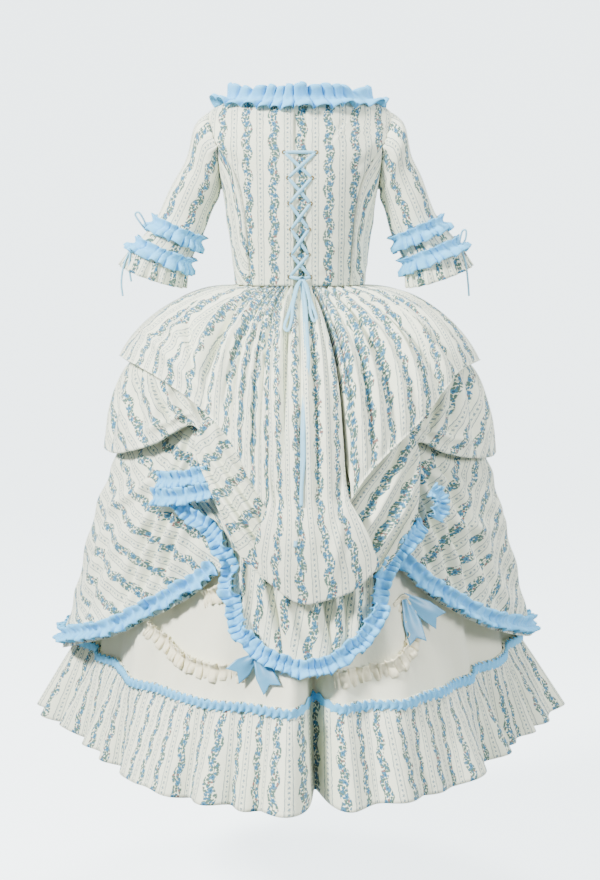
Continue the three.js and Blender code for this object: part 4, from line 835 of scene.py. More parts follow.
def frill(point, out, down, waves, width, rise, lift, upper, seed, around=False, rows=10, low_lift=0.0):
    """A gathered strip stitched along a line. Both its edges stand off in uneven pleats.

    upper is the share of its width above the stitches, rise how far the waves stand off, in mm."""
    count = len(point)
    q = np.linspace(0, 1, count, endpoint=not around)[None, :]
    h = np.linspace(-upper, 1 - upper, rows + 1)[:, None]
    if around:
        drift = np.sin(2 * np.pi * (2 * q) + seed) + 1.5 * np.sin(2 * np.pi * 7 * q + 2.3 * seed)
        size = 1 + 0.45 * np.sin(2 * np.pi * 7 * q + seed) * np.sin(2 * np.pi * 3 * q + 2 * seed)
    else:
        drift = 2.2 * sway(9 * q, seed) + 1.6 * sway(27 * q, seed + 3)
        size = 1 + 0.6 * sway(31 * q, seed + 5)
    phase = 2 * np.pi * waves * q + drift + 0.3 * np.abs(h) + 0.9 * (h < 0) * np.minimum(-h * 12, 1)
    away = np.minimum(np.abs(h) / 0.34, 1) ** 1.1
    wave = pleat_wave(phase, 0.35)
    gather = 0.16 * pleat_wave(2 * phase + 1.0, 0.3) * np.exp(-np.abs(h) * 12)
    stand = lift + rise * size * (wave * away + gather) + low_lift * np.maximum(h, 0)
    if around:
        tangent = unit(np.roll(point, -1, 0) - np.roll(point, 1, 0))
    else:
        tangent = unit(np.gradient(point, axis=0))
    shift = -FRILL_LEAN * width / 3 * np.sin(phase + 0.3) * (0.3 + 0.7 * away) * size
    if not around:
        shift = shift * np.minimum(np.minimum(q, 1 - q) * 20, 1)
    edge = 1 + (0.1 * np.sin(phase * 0.5 + seed) + 0.05 * np.sin(phase + 1.0)) * away
    p = point[None] + down[None] * (h * width * edge)[..., None]
    p = p + out[None] * stand[..., None] + tangent[None] * shift[..., None] * 0.5
    columns = count + 1 if around else count
    run = np.linspace(0, 1, columns) * np.linalg.norm(np.diff(point, axis=0), axis=1).sum() * 2.2
    return p, paired(run[None, :], h * width)


def evenly(line, count, around=False):
    """A line's points, and any columns that go with them, at even distances."""
    flat = line if not around else np.concatenate([line, line[:1]])
    run = np.concatenate([[0], np.cumsum(np.linalg.norm(np.diff(flat[:, :3], axis=0), axis=1))])
    at = np.linspace(0, run[-1], count, endpoint=not around)
    return np.stack([np.interp(at, run, flat[:, k]) for k in range(flat.shape[1])], -1)


def neckline(turn):
    s, c = np.sin(turn), np.cos(turn)
    back = (c > 0)[:, None]
    rows0 = np.where(back, np.array(BACK_ROWS[0], float), np.array(FRONT_ROWS[0], float))
    rows1 = np.where(back, np.array(BACK_ROWS[1], float), np.array(FRONT_ROWS[1], float))
    drop = 1 - np.abs(c)

    def at(r):
        return np.stack([r[:, 2] * s, lerp(r[:, 0], r[:, 3], drop), lerp(r[:, 1], r[:, 4], drop**1.5)], -1)

    point = at(rows0)
    down = unit(at(rows1) - point)
    along = unit(np.stack([rows0[:, 2] * c, np.abs(rows0[:, 0]) * s, 0 * s], -1))
    out = unit(np.cross(down, along))
    return point + down * 4, out, down


NECK_COUNT = 600
turn = np.linspace(0, 2 * np.pi, 4000, endpoint=False)
line = evenly(np.concatenate(neckline(turn), 1), NECK_COUNT, True)
neck = frill(line[:, :3], unit(line[:, 3:6]), unit(line[:, 6:]), 31, 50, 19, 2.4, 0.5, 1.0, True, 14)
ruffle("neck_ruffle", neck, ["bodice_back_left", "bodice_back_right"], BLUE, True)

# Sleeves: x, z, half width, depth and tilt of each section.
SLEEVE = [
    (190, -64, 71, 60, 69, 0), (201, -104, 54, 56, 53, 0), (214, -136, 50, 53, 40, 0),
    (231, -174, 50, 52, 29, 0), (252, -218, 52, 53, 22, 0), (283, -268, 61, 60, 20, 0),
]
CUFF_HEM = (299, -308, 70, 70, 19, 6)
SPREAD = {"left": 8, "right": -7}
SLEEVE_COUNT = 120
OUTSIDE_ARMHOLE = np.array([0.58, 0, 0.14])
CUFF_COUNT = 360
BAND_COUNT = 364


def section_point(s, angle, spread, out=0.0):
    x, z, half, depth, tilt, sag = np.moveaxis(np.asarray(s, float), -1, 0)
    t = np.radians(tilt)
    zero = 0 * x
    up = np.stack(np.broadcast_arrays(np.cos(t), zero, np.sin(t)), -1)
    back = np.stack(np.broadcast_arrays(zero, zero - 1, -sag / depth), -1)
    centre = np.stack(np.broadcast_arrays(x + spread, zero, z), -1)
    p = centre + back * ((depth + out) * np.cos(angle))[..., None]
    return p + up * ((half + out) * np.sin(angle))[..., None]


def armhole():
    edge = [np.array(r[2:5], float) for r in BACK_ROWS[:4]]
    front_edge = [np.array(r[2:5], float) for r in FRONT_ROWS[:4]]
    shoulder = np.array([188.0, 0, 27])
    over = [edge[3], edge[2], shoulder, front_edge[2], front_edge[3]]
    under = side_grid(1)[0][0][::-1][1:-1]
    over = spline(over, np.linspace(0, 4, 60))
    return evenly(np.concatenate([over, under]), SLEEVE_COUNT, True)


def sleeve_rings(side):
    hole = armhole()
    angle = np.linspace(0, 2 * np.pi, SLEEVE_COUNT, endpoint=False)
    rows = [hole + OUTSIDE_ARMHOLE]
    for k, s in enumerate(SLEEVE):
        rows.append(section_point(np.broadcast_to(s, (SLEEVE_COUNT, 6)), angle, SPREAD[side] * k / 6))
    return np.array(rows), angle


def mirrored(points, print_at):
    return points[:, ::-1] * np.array([-1.0, 1, 1]), print_at[:, ::-1]


def sleeve(side):
    rows, angle = sleeve_rings(side)
    count = 46
    index = np.linspace(0, len(rows) - 1, count + 1)
    points = spline(rows.reshape(len(rows), -1), index).reshape(count + 1, SLEEVE_COUNT, 3)
    n = grid_normals(points, True)
    v = (index / 6)[:, None]
    a = angle[None, :]
    gathers = 1.6 * np.cos(26 * a) * np.exp(-v * 14) * (np.sin(a) > -0.3)
    seed = 2.0 if side == "left" else 5.0
    wrinkle = 2.2 * np.exp(-(((v - 0.22) / 0.05) ** 2)) * np.cos(a * 2 + seed)
    wrinkle += 1.6 * np.sin(14 * v + 2 * np.cos(a + seed) + seed) * smooth(v, 0.1, 0.35)
    wrinkle += 1.4 * np.cos(3 * a + 9 * v + seed) * smooth(v, 0.3, 0.6)
    seam = -1.4 * np.exp(-v * 480 / 3.0)
    seam = seam - 1.6 * np.exp(-np.abs(np.cos(a)) * 55 / 2.0)
    points = points + n * (gathers + wrinkle + seam)[..., None]
    return points, straight_print(points, 6 * REPEAT, None, 14, True)


def sleeve_band(side, at, waves, low_stand, seed):
    rows = sleeve_rings(side)[0]
    shape = spline(rows.reshape(len(rows), -1), np.array([at + 1 - 0.35, at + 1, min(at + 1.35, 6)]))
    shape = shape.reshape(3, SLEEVE_COUNT, 3)
    above, here, below = [evenly(r, BAND_COUNT, True) for r in shape]
    down = unit(below - above)
    centre = here.mean(0)
    out = here - centre
    out = unit(out - down * (out * down).sum(1, keepdims=True))
    return frill(here, out, down, waves, 34, 12.0, 2.2, 0.36, seed, True, 10, low_stand)


def cuff(side):
    """A cuff's flounce, straight from its seam to its hem at each place round the arm."""
    top = evenly(sleeve_rings(side)[0][-1], CUFF_COUNT, True)
    a = np.linspace(0, 2 * np.pi, CUFF_COUNT, endpoint=False)
    hem = section_point(np.broadcast_to(CUFF_HEM, (CUFF_COUNT, 6)), a, SPREAD[side])
    v = np.linspace(0, 1, 9)[:, None]
    out = unit(top - top.mean(0))
    seed = 1.0 if side == "left" else 4.0
    phase = 17 * a + 0.8 * np.sin(3 * a + seed) + 0.5 * np.sin(7 * a + seed)
    wave = (0.6 + 3.6 * v) * np.cos(phase)[None, :] * (1 + 0.3 * np.sin(5 * a + seed))[None, :]
    points = lerp(top[None], hem[None], v[..., None]) + out[None] * (1.8 + wave)[..., None]
    run = np.linspace(0, 10 * REPEAT, CUFF_COUNT + 1)
    return points, paired(run[None, :], v * 48)


for side in ("left", "right"):
    seed = 1.0 if side == "left" else 6.0
    pieces = [
        (f"sleeve_{side}", sleeve(side)),
        (f"sleeve_ruffle_upper_{side}", sleeve_band(side, 3.95, 21, 3, seed + 1)),
        (f"sleeve_ruffle_lower_{side}", sleeve_band(side, 4.8, 23, 9, seed + 2)),
        (f"cuff_flounce_{side}", cuff(side)),
    ]
    for name, made in pieces:
        if side == "left":
            made = mirrored(*made)
        if name == f"sleeve_{side}":
            cloth(name, *made, PRINT, [name, f"sleeve_front_{side}"], "hung", (), True)
        else:
            ruffle(name, made, [f"sleeve_{side}"], PRINT if "cuff" in name else BLUE, True)

# Thin ribbon ties at the outer side of the sleeve bands: two ends and a loop.
TIES = {
    "left": [
        [(-352, -30, -256), (-364, -38, -286), (-369, -38, -320), (-367, -34, -348)],
        [(-350, -32, -256), (-352, -44, -286), (-348, -44, -318)],
        [(-318, -30, -212), (-328, -40, -198), (-338, -42, -181), (-330, -44, -177), (-320, -38, -194),
         (-316, -30, -212)],
    ],
    "right": [
        [(333, -30, -250), (342, -38, -282), (347, -38, -318), (350, -34, -348)],
        [(331, -30, -246), (340, -40, -232), (341, -44, -214), (334, -42, -214), (330, -36, -230),
         (329, -30, -246)],
    ],
}


def tie(route):
    line = spline(route, np.linspace(0, len(route) - 1, 31))
    along = unit(np.gradient(line, axis=0))
    across = unit(np.cross(along, np.broadcast_to([0, -1.0, 0], along.shape)))
    return ribbon_grid(line, across, np.cross(across, along), 4, 0.7)


for side, routes in TIES.items():
    ribbons(f"sleeve_tie_{side}", [tie(route) for route in routes])

# Petticoat.
RING_TURN = np.linspace(0, 360, 288, endpoint=False)


def centre_fold(turn):
    """The deep fold at the middle of the back, with a soft roll on each side of it."""
    signed = from_back(turn)
    deep = -66 * np.exp(-(((signed - 4) / 2.3) ** 2))
    return deep + 9 * np.exp(-(((signed + 1.6) / 2.4) ** 2)) + 9 * np.exp(-(((signed - 9.8) / 2.4) ** 2))


def petticoat_ring(z_level, turn):
    """The petticoat at levels of its form, with soft uneven folds."""
    p = on_form(PETTICOAT_FORM, turn, z_level)
    free = smooth(-p[..., 2], 360, 900)
    share = lerp(1, hem_lobe(turn), smooth(-p[..., 2], -LOBES_FROM_Z, -HEM_Z))
    t = np.radians(turn)
    fold = 5 * np.cos(15 * t) + 3.5 * np.cos(9 * t + 1.3 + 0.4 * free) + 2.5 * np.cos(26 * t + 2.0)
    r = np.hypot(p[..., 0], p[..., 1])
    high = lerp(1.0, 1.6, smooth(np.abs(from_back(turn)), 10, 30))
    fold = high * fold * free + centre_fold(turn) * smooth(-p[..., 2], 760, 1060)
    scale = share + fold / r
    return p * np.stack([scale, scale, np.ones_like(scale)], -1)


level, turn = np.meshgrid(np.linspace(0, 5, 48), RING_TURN, indexing="ij")
petticoat = petticoat_ring(level, turn)
cloth("petticoat", petticoat, straight_print(petticoat, 4000, None, 0, True), CREAM, ["petticoat"], "hung",
      (), True)

GATHER_Z = -1088
HEADING = 14
FLOUNCE_DROP = 162
TRIM_WAVES = 215


def petticoat_level(z):
    """The level of the petticoat's form at a height in its lowest part."""
    return 4 + (-z - 860) / 236


def seam_ring(z, count):
    turn = np.linspace(0, 360, count, endpoint=False)
    return petticoat_ring(petticoat_level(z), turn), turn


def flounce():
    count = 840
    seam, turn = seam_ring(GATHER_Z, count)
    t = np.radians(turn)
    hem = on_form(DRAPE_FORM, turn, 10.0)
    lobe = hem_lobe(turn)[:, None]
    hem = hem * np.concatenate([lobe, lobe, np.ones_like(lobe)], 1)
    out = level_out(seam)
    v = np.concatenate([np.linspace(-HEADING / FLOUNCE_DROP, 0, 5)[:-1], np.linspace(0, 1, 27)])[:, None]
    fine = np.cos(84 * t + 1.2 * np.sin(5 * t) + 0.8 * np.sin(11 * t + 1))
    path = 34 * t + 1.6 * np.sin(4 * t + 0.5) + 1.1 * np.sin(9 * t + 2)
    flute = np.cos(path) + 0.12 * np.cos(2 * path + 0.5)
    large = np.cos(19 * t + 1.3 * np.sin(5 * t + 1.1))
    size = 1 + 0.35 * np.sin(7 * t + 0.6) * np.sin(3 * t)
    low = np.clip(v, 0, 1)
    head = np.clip(-v * FLOUNCE_DROP / HEADING, 0, 1)
    wave = fine * (1.5 * np.exp(-low * 5) + 1.6 * head) + size * flute * 12 * low**0.7 + large * 10 * low
    lift = np.where(v < 0, 3.4 + 1.5 * head, 3.4)
    points = lerp(seam[None], hem[None], v[..., None]) + out[None] * (lift + wave + 2 * low)[..., None]
    side = np.stack([out[:, 1], -out[:, 0], 0 * out[:, 0]], -1)
    points = points + out[None] * (centre_fold(turn)[None, :] * low)[..., None]
    shift = -6 * np.sin(path) * low**0.7 - 5 * np.sin(19 * t + 1.3 * np.sin(5 * t + 1.1)) * low
    points = points + side[None] * shift[..., None]
    points[..., 2] += (4.0 * large + 1.5 * flute) * low**2 + 1.2 * head * fine
    run = np.linspace(0, 82 * REPEAT, count + 1)
    return points, paired(run[None, :], v * 170)


cloth("petticoat_flounce", *flounce(), PRINT, ["petticoat_flounce"], "gathered", ["petticoat"], True)


def trim():
    count = 1500
    seam, turn = seam_ring(GATHER_Z, count)
    t = np.radians(turn)
    out = level_out(seam)
    h = np.linspace(-1, 1, 9)[:, None]
    path = TRIM_WAVES * t + 1.5 * np.sin(7 * t)
    ruche = np.cos(path + 2.2 * h * h + 0.8 * h)
    puff = (1 - h * h) * 0.6 + 0.55
    edge = np.abs(h) ** 2
    lift = 6.3 + 3.4 * puff * (0.4 + 0.6 * ruche) + 2.2 * edge * ruche
    points = seam[None] + out[None] * lift[..., None]
    points[..., 2] = GATHER_Z - h * 9 + 2.2 * edge * np.sin(path) * np.sign(-h)
    run = np.linspace(0, 4500, count + 1)
    return points, paired(run[None, :], h * 9)


ruffle("flounce_trim", trim(), ["petticoat_flounce"], BLUE, True)

# Draped panels. Each station is one line of the cloth: turn and level of its top, turn and level of
# its edge, how far it stands off the form there, and how much it fills out between.
OVERSKIRT_LEFT = [
    (-150, 0, -128, 4.6, 0, 0, 0), (-125, 0, -108, 4.2, 0, 0, 0), (-98, 0, -87, 3.95, 0, 6, 4),
    (-75, 0, -67, 3.95, 0, 2, 2), (-55, 0, -51, 4.1, 0, 0, 0), (-38, 0, -36, 4.42, 0, 0, 0),
    (-28, 0, -26, 4.8, 0, 0, 0), (-21, 0, -19, 5.22, 0, 0, 0), (-16, 0, -13, 5.85, 0, 0, 0),
    (-10.4, 0, -7.3, 6.42, 0, 0, 0),
]
OVERSKIRT_RIGHT = [
    (10, 0, 13.2, 6.15, 0, 0, 0), (16, 0, 17.5, 5.8, 0, 0, 0), (24, 0, 24, 5.45, 0, 0, 0),
    (34, 0, 32, 5.1, 0, 0, 0), (45, 0, 39, 4.78, 0, 0, 0), (56, 0, 48, 4.38, 0, 0, 0),
    (68, 0, 58, 4.08, 0, 0, 0), (84, 0, 74, 4.0, 0, 0, 2), (104, 0, 94, 4.1, 0, 2, 2),
    (126, 0, 112, 4.3, 0, 0, 0), (150, 0, 128, 4.6, 0, 0, 0),
]
PUFF_LEFT = [
    (-128, 4.2, -122, 6.2, -36, -16, 8), (-108, 3.8, -104, 5.95, -36, -16, 8),
    (-88, 3.55, -86, 5.85, -34, -12, 8), (-68, 3.6, -66, 5.75, -34, -14, 8),
    (-52, 3.75, -48, 5.45, -34, -18, 6), (-42, 4.0, -40, 5.15, -34, -26, 0),
    (-34, 4.1, -34, 4.95, -34, -33, 0), (-28, 4.35, -28, 5.2, -34, -37, 0),
]
PUFF_RIGHT = [
    (31, 4.45, 31, 5.4, -34, -37, 0), (38, 4.2, 38, 5.3, -34, -32, 0), (45, 4.0, 45, 5.53, -34, -24, 0),
    (54, 3.9, 55, 5.72, -34, -16, 6), (66, 3.65, 68, 5.85, -34, -12, 8),
    (86, 3.6, 86, 5.95, -36, -14, 8), (106, 3.8, 104, 6.0, -36, -16, 8),
    (128, 4.2, 122, 6.2, -36, -16, 8),
]
DRAPE_LEFT = [
    (-125, 5.9, -125, 8.9, -50, -6, 14), (-105, 5.6, -105, 9.1, -50, -2, 20),
    (-86, 5.5, -88, 9.12, -46, 3, 25), (-68, 5.4, -70, 8.78, -48, -8, 21),
    (-54, 5.2, -56, 8.43, -54, -22, 13), (-44, 5.0, -46, 8.08, -58, -34, 6),
    (-36, 4.8, -38, 7.85, -58, -42, 0), (-28, 4.8, -30, 7.62, -60, -48, 0),
    (-20, 5.0, -22.5, 7.3, -60, -50, 0),
]
DRAPE_RIGHT = [
    (21, 5.0, 24, 7.1, -60, -50, 0), (28, 4.8, 29, 7.3, -60, -48, 0), (36, 4.9, 37, 7.65, -58, -44, 0),
    (45, 5.1, 46, 7.95, -56, -36, 6), (54, 5.3, 55, 8.25, -54, -26, 13), (68, 5.4, 68, 8.6, -48, -12, 21),
    (86, 5.5, 86, 8.9, -46, -2, 25), (105, 5.6, 105, 9.0, -50, -4, 20), (125, 5.9, 125, 8.8, -50, -6, 14),
]
TAIL = [
    (-30, 6.0, -38, 6.35, -44, -36, 0), (-26, 6.1, -27, 6.72, -44, -38, 0),
    (-22, 6.2, -21.5, 7.02, -44, -38, 0), (-18, 6.3, -19, 7.4, -44, -36, 0),
    (-15, 6.4, -17.5, 7.75, -44, -30, 0), (-11, 6.5, -14, 8.12, -44, -22, 0),
    (-7, 6.6, -9.5, 8.35, -44, -17, 0), (-3, 6.6, -4.5, 8.52, -44, -14, 0), (1, 6.6, 1, 8.6, -44, -14, 0),
    (5, 6.6, 7, 8.53, -44, -14, 0), (9, 6.5, 11.5, 8.35, -44, -17, 0), (13, 6.4, 16.5, 8.12, -44, -22, 0),
    (16, 6.3, 20.5, 7.8, -44, -30, 0), (19, 6.2, 21.5, 7.5, -44, -36, 0), (22, 6.1, 26, 7.2, -44, -38, 0),
    (27, 6.0, 31, 7.0, -44, -38, 0), (32, 5.8, 37, 6.75, -44, -38, 0),
]

TUCKS = (0.15, 0.3, 0.45, 0.6, 0.8, 1.0)
TUCK_DEPTH = 15
WAIST_DROP = 0.6


def no_folds(u, v):
    return 0 * u


def tucked(turn, level, out, curl, depth=TUCK_DEPTH):
    """Rows of an edge that is turned under the piece."""
    rows = []
    for a in TUCKS:
        level_at = level + curl * math.sin(a * math.pi) - 0.05 * a
        rows.append(on_form(DRAPE_FORM, turn, level_at, out - depth * (1 - math.cos(a * math.pi / 2))))
    return np.array(rows)


def draped(stations, columns, rows, folds=no_folds, turned=TUCK_DEPTH, lines=None):
    """A panel on the draped form, with its edge turned under. Panels with pleat lines start at the waist."""
    u, v = share_grid(columns, rows)
    if lines:
        u = along_pleats(u, v, lines)
    s = spline(stations, u * (len(stations) - 1))
    out = lerp(s[..., 4], s[..., 5], v**2) + s[..., 6] * np.sin(np.pi * v) + folds(u, v)
    points = on_form(DRAPE_FORM, lerp(s[..., 0], s[..., 2], v), lerp(s[..., 1], s[..., 3], v), out)
    if lines:
        points[..., 2] -= WAIST_DROP
    if turned:
        last_out = out[-1] - folds(u, v)[-1] * 0.5
        points = np.concatenate([points, tucked(s[-1, :, 2], s[-1, :, 3], last_out, 0.05, turned)])
    return points


def panel(name, print_on, stations, columns, rows, folds, held="gathered", **form):
    """A draped piece. print_on lays the stripes on its smooth form."""
    points = draped(stations, columns, rows, folds, **form)
    cloth(name, points, print_on(draped(stations, columns, rows, **form)), PRINT, [name], held, ["petticoat"])
    return points


def creased(size, seed, rows, fine=0.6, bold=1.1, wider=1.0, lower=0):
    """Folds of a panel of that size in mm: fine ripples, and large listed ones."""
    def folds(u, v):
        return fine * ripples(u, v, size, seed) + bold * ridges(u, v, size, rows, wider) - lower

    return folds


LEFT_PLEATS = [
    (0.06, 0.06, 0.6, 12, 2.5), (0.14, 0.13, 0.5, 12, 2.5), (0.23, 0.22, 0.62, 13, 3),
    (0.32, 0.3, 0.5, 12, 3.5), (0.42, 0.4, 0.85, 14, 14), (0.52, 0.52, 0.6, 12, 6),
    (0.61, 0.63, 1.0, 14, 16), (0.7, 0.7, 0.55, 10, 6), (0.79, 0.78, 1.0, 11, 14),
    (0.88, 0.88, 0.6, 9, 6), (0.95, 0.94, 1.0, 9, 9),
]
RIGHT_PLEATS = [
    (0.05, 0.06, 0.9, 9, 9), (0.12, 0.12, 0.6, 9, 6), (0.2, 0.22, 1.0, 11, 14), (0.28, 0.28, 0.5, 11, 6),
    (0.36, 0.38, 0.9, 13, 15), (0.45, 0.46, 0.55, 12, 6), (0.55, 0.56, 0.65, 13, 6),
    (0.65, 0.66, 0.5, 12, 3.5), (0.75, 0.76, 0.62, 12, 3), (0.85, 0.85, 0.5, 12, 2.5),
    (0.94, 0.94, 0.55, 12, 2.5),
]


def left_folds(u, v):
    size = (870, 420)
    total = pleats(u, v, size[0], LEFT_PLEATS) - 5 * smooth(v, 0.1, 0.5)
    total += lerp(0.35, 1, smooth(u, 0.2, 0.55)) * ridges(u, v, size, [
        (0.3, 0.35, 0.36, 0.98, 26, 7), (0.42, 0.3, 0.5, 0.98, 24, 7), (0.55, 0.35, 0.6, 0.98, 16, 6),
        (0.47, 0.6, 0.61, 0.95, 10, -7), (0.63, 0.5, 0.64, 0.99, 12, -9), (0.7, 0.3, 0.69, 0.95, 16, 6),
        (0.76, 0.4, 0.73, 0.9, 10, -6), (0.84, 0.35, 0.82, 0.95, 14, 6), (0.9, 0.45, 0.9, 0.95, 9, -6),
        (0.28, 0.75, 0.58, 0.93, 14, 6), (0.36, 0.62, 0.62, 0.86, 12, 5), (0.16, 0.3, 0.2, 0.95, 26, 7),
        (0.08, 0.35, 0.09, 0.95, 22, 6), (0.24, 0.5, 0.27, 0.95, 16, -6), (0.12, 0.5, 0.14, 0.95, 14, -5),
    ])
    total += ripples(u, v, size, 2.1, 0.35) * lerp(0.3, 1, smooth(u, 0.2, 0.55))
    return total


def right_folds(u, v):
    size = (900, 440)
    total = pleats(u, v, size[0], RIGHT_PLEATS) - 5 * smooth(v, 0.1, 0.5)
    total += lerp(1, 0.35, smooth(u, 0.45, 0.8)) * ridges(u, v, size, [
        (0.08, 0.4, 0.1, 0.95, 14, 6), (0.17, 0.3, 0.18, 0.95, 14, 6), (0.14, 0.5, 0.14, 0.95, 9, -6),
        (0.25, 0.35, 0.28, 0.97, 16, 6), (0.22, 0.55, 0.24, 0.97, 9, -6), (0.34, 0.35, 0.36, 0.97, 16, 7),
        (0.4, 0.45, 0.46, 0.97, 12, -7), (0.44, 0.3, 0.52, 0.97, 16, 6), (0.5, 0.45, 0.58, 0.95, 11, -7),
        (0.42, 0.32, 0.47, 0.42, 6, -6), (0.56, 0.35, 0.64, 0.95, 20, 7), (0.68, 0.3, 0.72, 0.95, 22, 7),
        (0.64, 0.55, 0.68, 0.95, 12, -6), (0.8, 0.35, 0.82, 0.95, 22, 7), (0.9, 0.35, 0.92, 0.95, 22, 6),
        (0.76, 0.5, 0.77, 0.95, 12, -5), (0.86, 0.5, 0.87, 0.95, 12, -5),
    ])
    total += ripples(u, v, size, 4.4, 0.35) * lerp(1, 0.3, smooth(u, 0.45, 0.8))
    return total - 24 * np.exp(-u * 900 / 12) * smooth(v, 0.0, 0.12) * (1 - smooth(v, 0.9, 0.97))


panel("overskirt_left", lambda base: pleated_print(base, LEFT_PLEATS, 12, (0, 0.4)),
      OVERSKIRT_LEFT, 196, 80, left_folds, lines=LEFT_PLEATS)
panel("overskirt_right", lambda base: pleated_print(base, RIGHT_PLEATS, 20, (0.6, 1)),
      OVERSKIRT_RIGHT, 196, 80, right_folds, lines=RIGHT_PLEATS)

# The centre panel: turn at the waist, at the points, at the foot, and the foot's level.
CENTRE = [
    (-10.6, -7.7, -12, 7.15), (-6.5, -4.5, -6, 7.42), (-2.5, -0.5, 0, 7.6), (1.5, 3.5, 6, 7.57),
    (5.5, 8, 13, 7.46), (9.6, 12.4, 19.5, 7.2),
]
VEE_LEVEL = 6.2


def centre_panel(flat=1.0):
    u, v = share_grid(90, 110)
    s = spline(CENTRE, u * (len(CENTRE) - 1))
    level = v * s[..., 3]
    low = np.maximum(level - VEE_LEVEL, 0) / (s[..., 3] - VEE_LEVEL)
    above = lerp(s[..., 0], s[..., 1], level / VEE_LEVEL)
    turn = np.where(level < VEE_LEVEL, above, lerp(s[..., 1], s[..., 2], low))
    size = (190, 640)
    folds = pleats(u, v, size[0], [
        (0.1, 0.12, 0.55, 8, 6), (0.3, 0.26, 0.7, 9, 7), (0.5, 0.46, 0.5, 8, 6), (0.68, 0.62, 0.8, 9, 7),
        (0.86, 0.84, 0.6, 8, 6),
    ]) + 2
    folds += ridges(u, v, size, [
        (0.16, 0.15, 0.14, 0.8, 12, 5), (0.38, 0.15, 0.36, 0.9, 13, 6), (0.6, 0.15, 0.55, 0.9, 13, 6),
        (0.8, 0.15, 0.76, 0.85, 12, 6), (0.27, 0.25, 0.24, 0.72, 6, -4), (0.7, 0.3, 0.65, 0.85, 6, -5),
        (0.48, 0.3, 0.46, 0.7, 6, -3), (0.1, 0.86, 0.35, 0.97, 9, 4), (0.9, 0.85, 0.65, 0.97, 9, 4),
        (0.05, 0.8, 0.25, 0.95, 7, -4), (0.92, 0.78, 0.8, 0.93, 7, -4),
    ])
    folds += ripples(u, v, size, 1.3, 0.7)
    folds -= 18 * np.exp(-(1 - u) * 190 / 10) * smooth(v, 0.0, 0.1) * (1 - smooth(v, 0.8, 0.87))
    points = on_form(DRAPE_FORM, turn, level, flat * folds + 8 * np.sin(np.pi * low) * (low > 0))
    points[..., 2] -= WAIST_DROP
    return np.concatenate([points, tucked(s[-1, :, 2], s[-1, :, 3], flat * folds[-1], 0.06)])


cloth("overskirt_centre", centre_panel(), fan_print(centre_panel(0.0), 120, 0.5, 20), PRINT,
      ["overskirt_centre"], "gathered", ["petticoat"])


# Puffs under the side panels.
PUFF_LEFT_FOLDS = creased((760, 250), 5.1, [
    (0.5, 0.15, 0.62, 0.8, 26, 7), (0.62, 0.15, 0.78, 0.85, 20, 7), (0.4, 0.2, 0.46, 0.85, 26, 7),
    (0.56, 0.3, 0.7, 0.9, 11, -7), (0.72, 0.2, 0.9, 0.8, 13, 6), (0.46, 0.3, 0.54, 0.92, 12, -6),
    (0.82, 0.2, 0.96, 0.7, 10, -5), (0.1, 0.2, 0.16, 0.9, 26, 7), (0.24, 0.2, 0.3, 0.9, 26, 7),
    (0.17, 0.3, 0.22, 0.9, 13, -6), (0.32, 0.3, 0.37, 0.9, 13, -6), (0.55, 0.85, 0.85, 0.8, 12, 5),
])
PUFF_RIGHT_FOLDS = creased((760, 260), 1.9, [
    (0.4, 0.15, 0.26, 0.8, 22, 7), (0.52, 0.15, 0.42, 0.85, 24, 7), (0.34, 0.3, 0.2, 0.9, 11, -7),
    (0.46, 0.25, 0.34, 0.92, 12, -7), (0.24, 0.2, 0.1, 0.7, 12, 6), (0.62, 0.2, 0.56, 0.88, 26, 7),
    (0.58, 0.3, 0.5, 0.92, 12, -6), (0.75, 0.2, 0.7, 0.9, 26, 7), (0.9, 0.2, 0.86, 0.9, 26, 7),
    (0.68, 0.3, 0.64, 0.9, 13, -6), (0.83, 0.3, 0.78, 0.9, 13, -6), (0.15, 0.8, 0.45, 0.86, 12, 5),
])
panel("overskirt_puff_left", lambda base: turned_print(base, 1.0, -42, 10),
      PUFF_LEFT, 140, 50, PUFF_LEFT_FOLDS)
panel("overskirt_puff_right", lambda base: turned_print(base, 0.0, 42, 10),
      PUFF_RIGHT, 140, 50, PUFF_RIGHT_FOLDS)


# Side drapes: soft swags that fall from the gathers to the ruffled edge.
def swagged(size, seed, down, across, uneven, rows):
    """Folds of a side drape: creases, and shallow waves that hang across them."""
    creases = creased(size, seed, rows, 0.4, 0.85, 1.5, 3)

    def folds(u, v):
        path = 2 * np.pi * (down * v + across * u) + 1.2 * sway(6 * u, uneven)
        return 2.45 * np.sin(path) * smooth(v, 0.05, 0.25) + creases(u, v)

    return folds


DRAPE_LEFT_FOLDS = swagged((820, 480), 0.7, 5.2, 1.1, 2, [
    (0.95, 0.1, 0.72, 0.9, 16, 8), (0.85, 0.05, 0.62, 0.92, 20, 9), (0.78, 0.1, 0.52, 0.95, 16, 8),
    (0.9, 0.1, 0.67, 0.92, 9, -7), (0.8, 0.15, 0.57, 0.95, 10, -8), (0.7, 0.1, 0.45, 0.95, 18, 8),
    (0.73, 0.15, 0.49, 0.95, 9, -7), (0.6, 0.15, 0.38, 0.95, 20, 8), (0.5, 0.1, 0.3, 0.9, 22, 8),
    (0.45, 0.25, 0.34, 0.95, 12, -7), (0.2, 0.1, 0.12, 0.9, 26, 8), (0.34, 0.1, 0.22, 0.9, 24, 8),
    (0.26, 0.2, 0.17, 0.9, 13, -7), (0.6, 0.3, 0.35, 0.42, 12, 6), (0.62, 0.55, 0.3, 0.66, 12, 5),
])
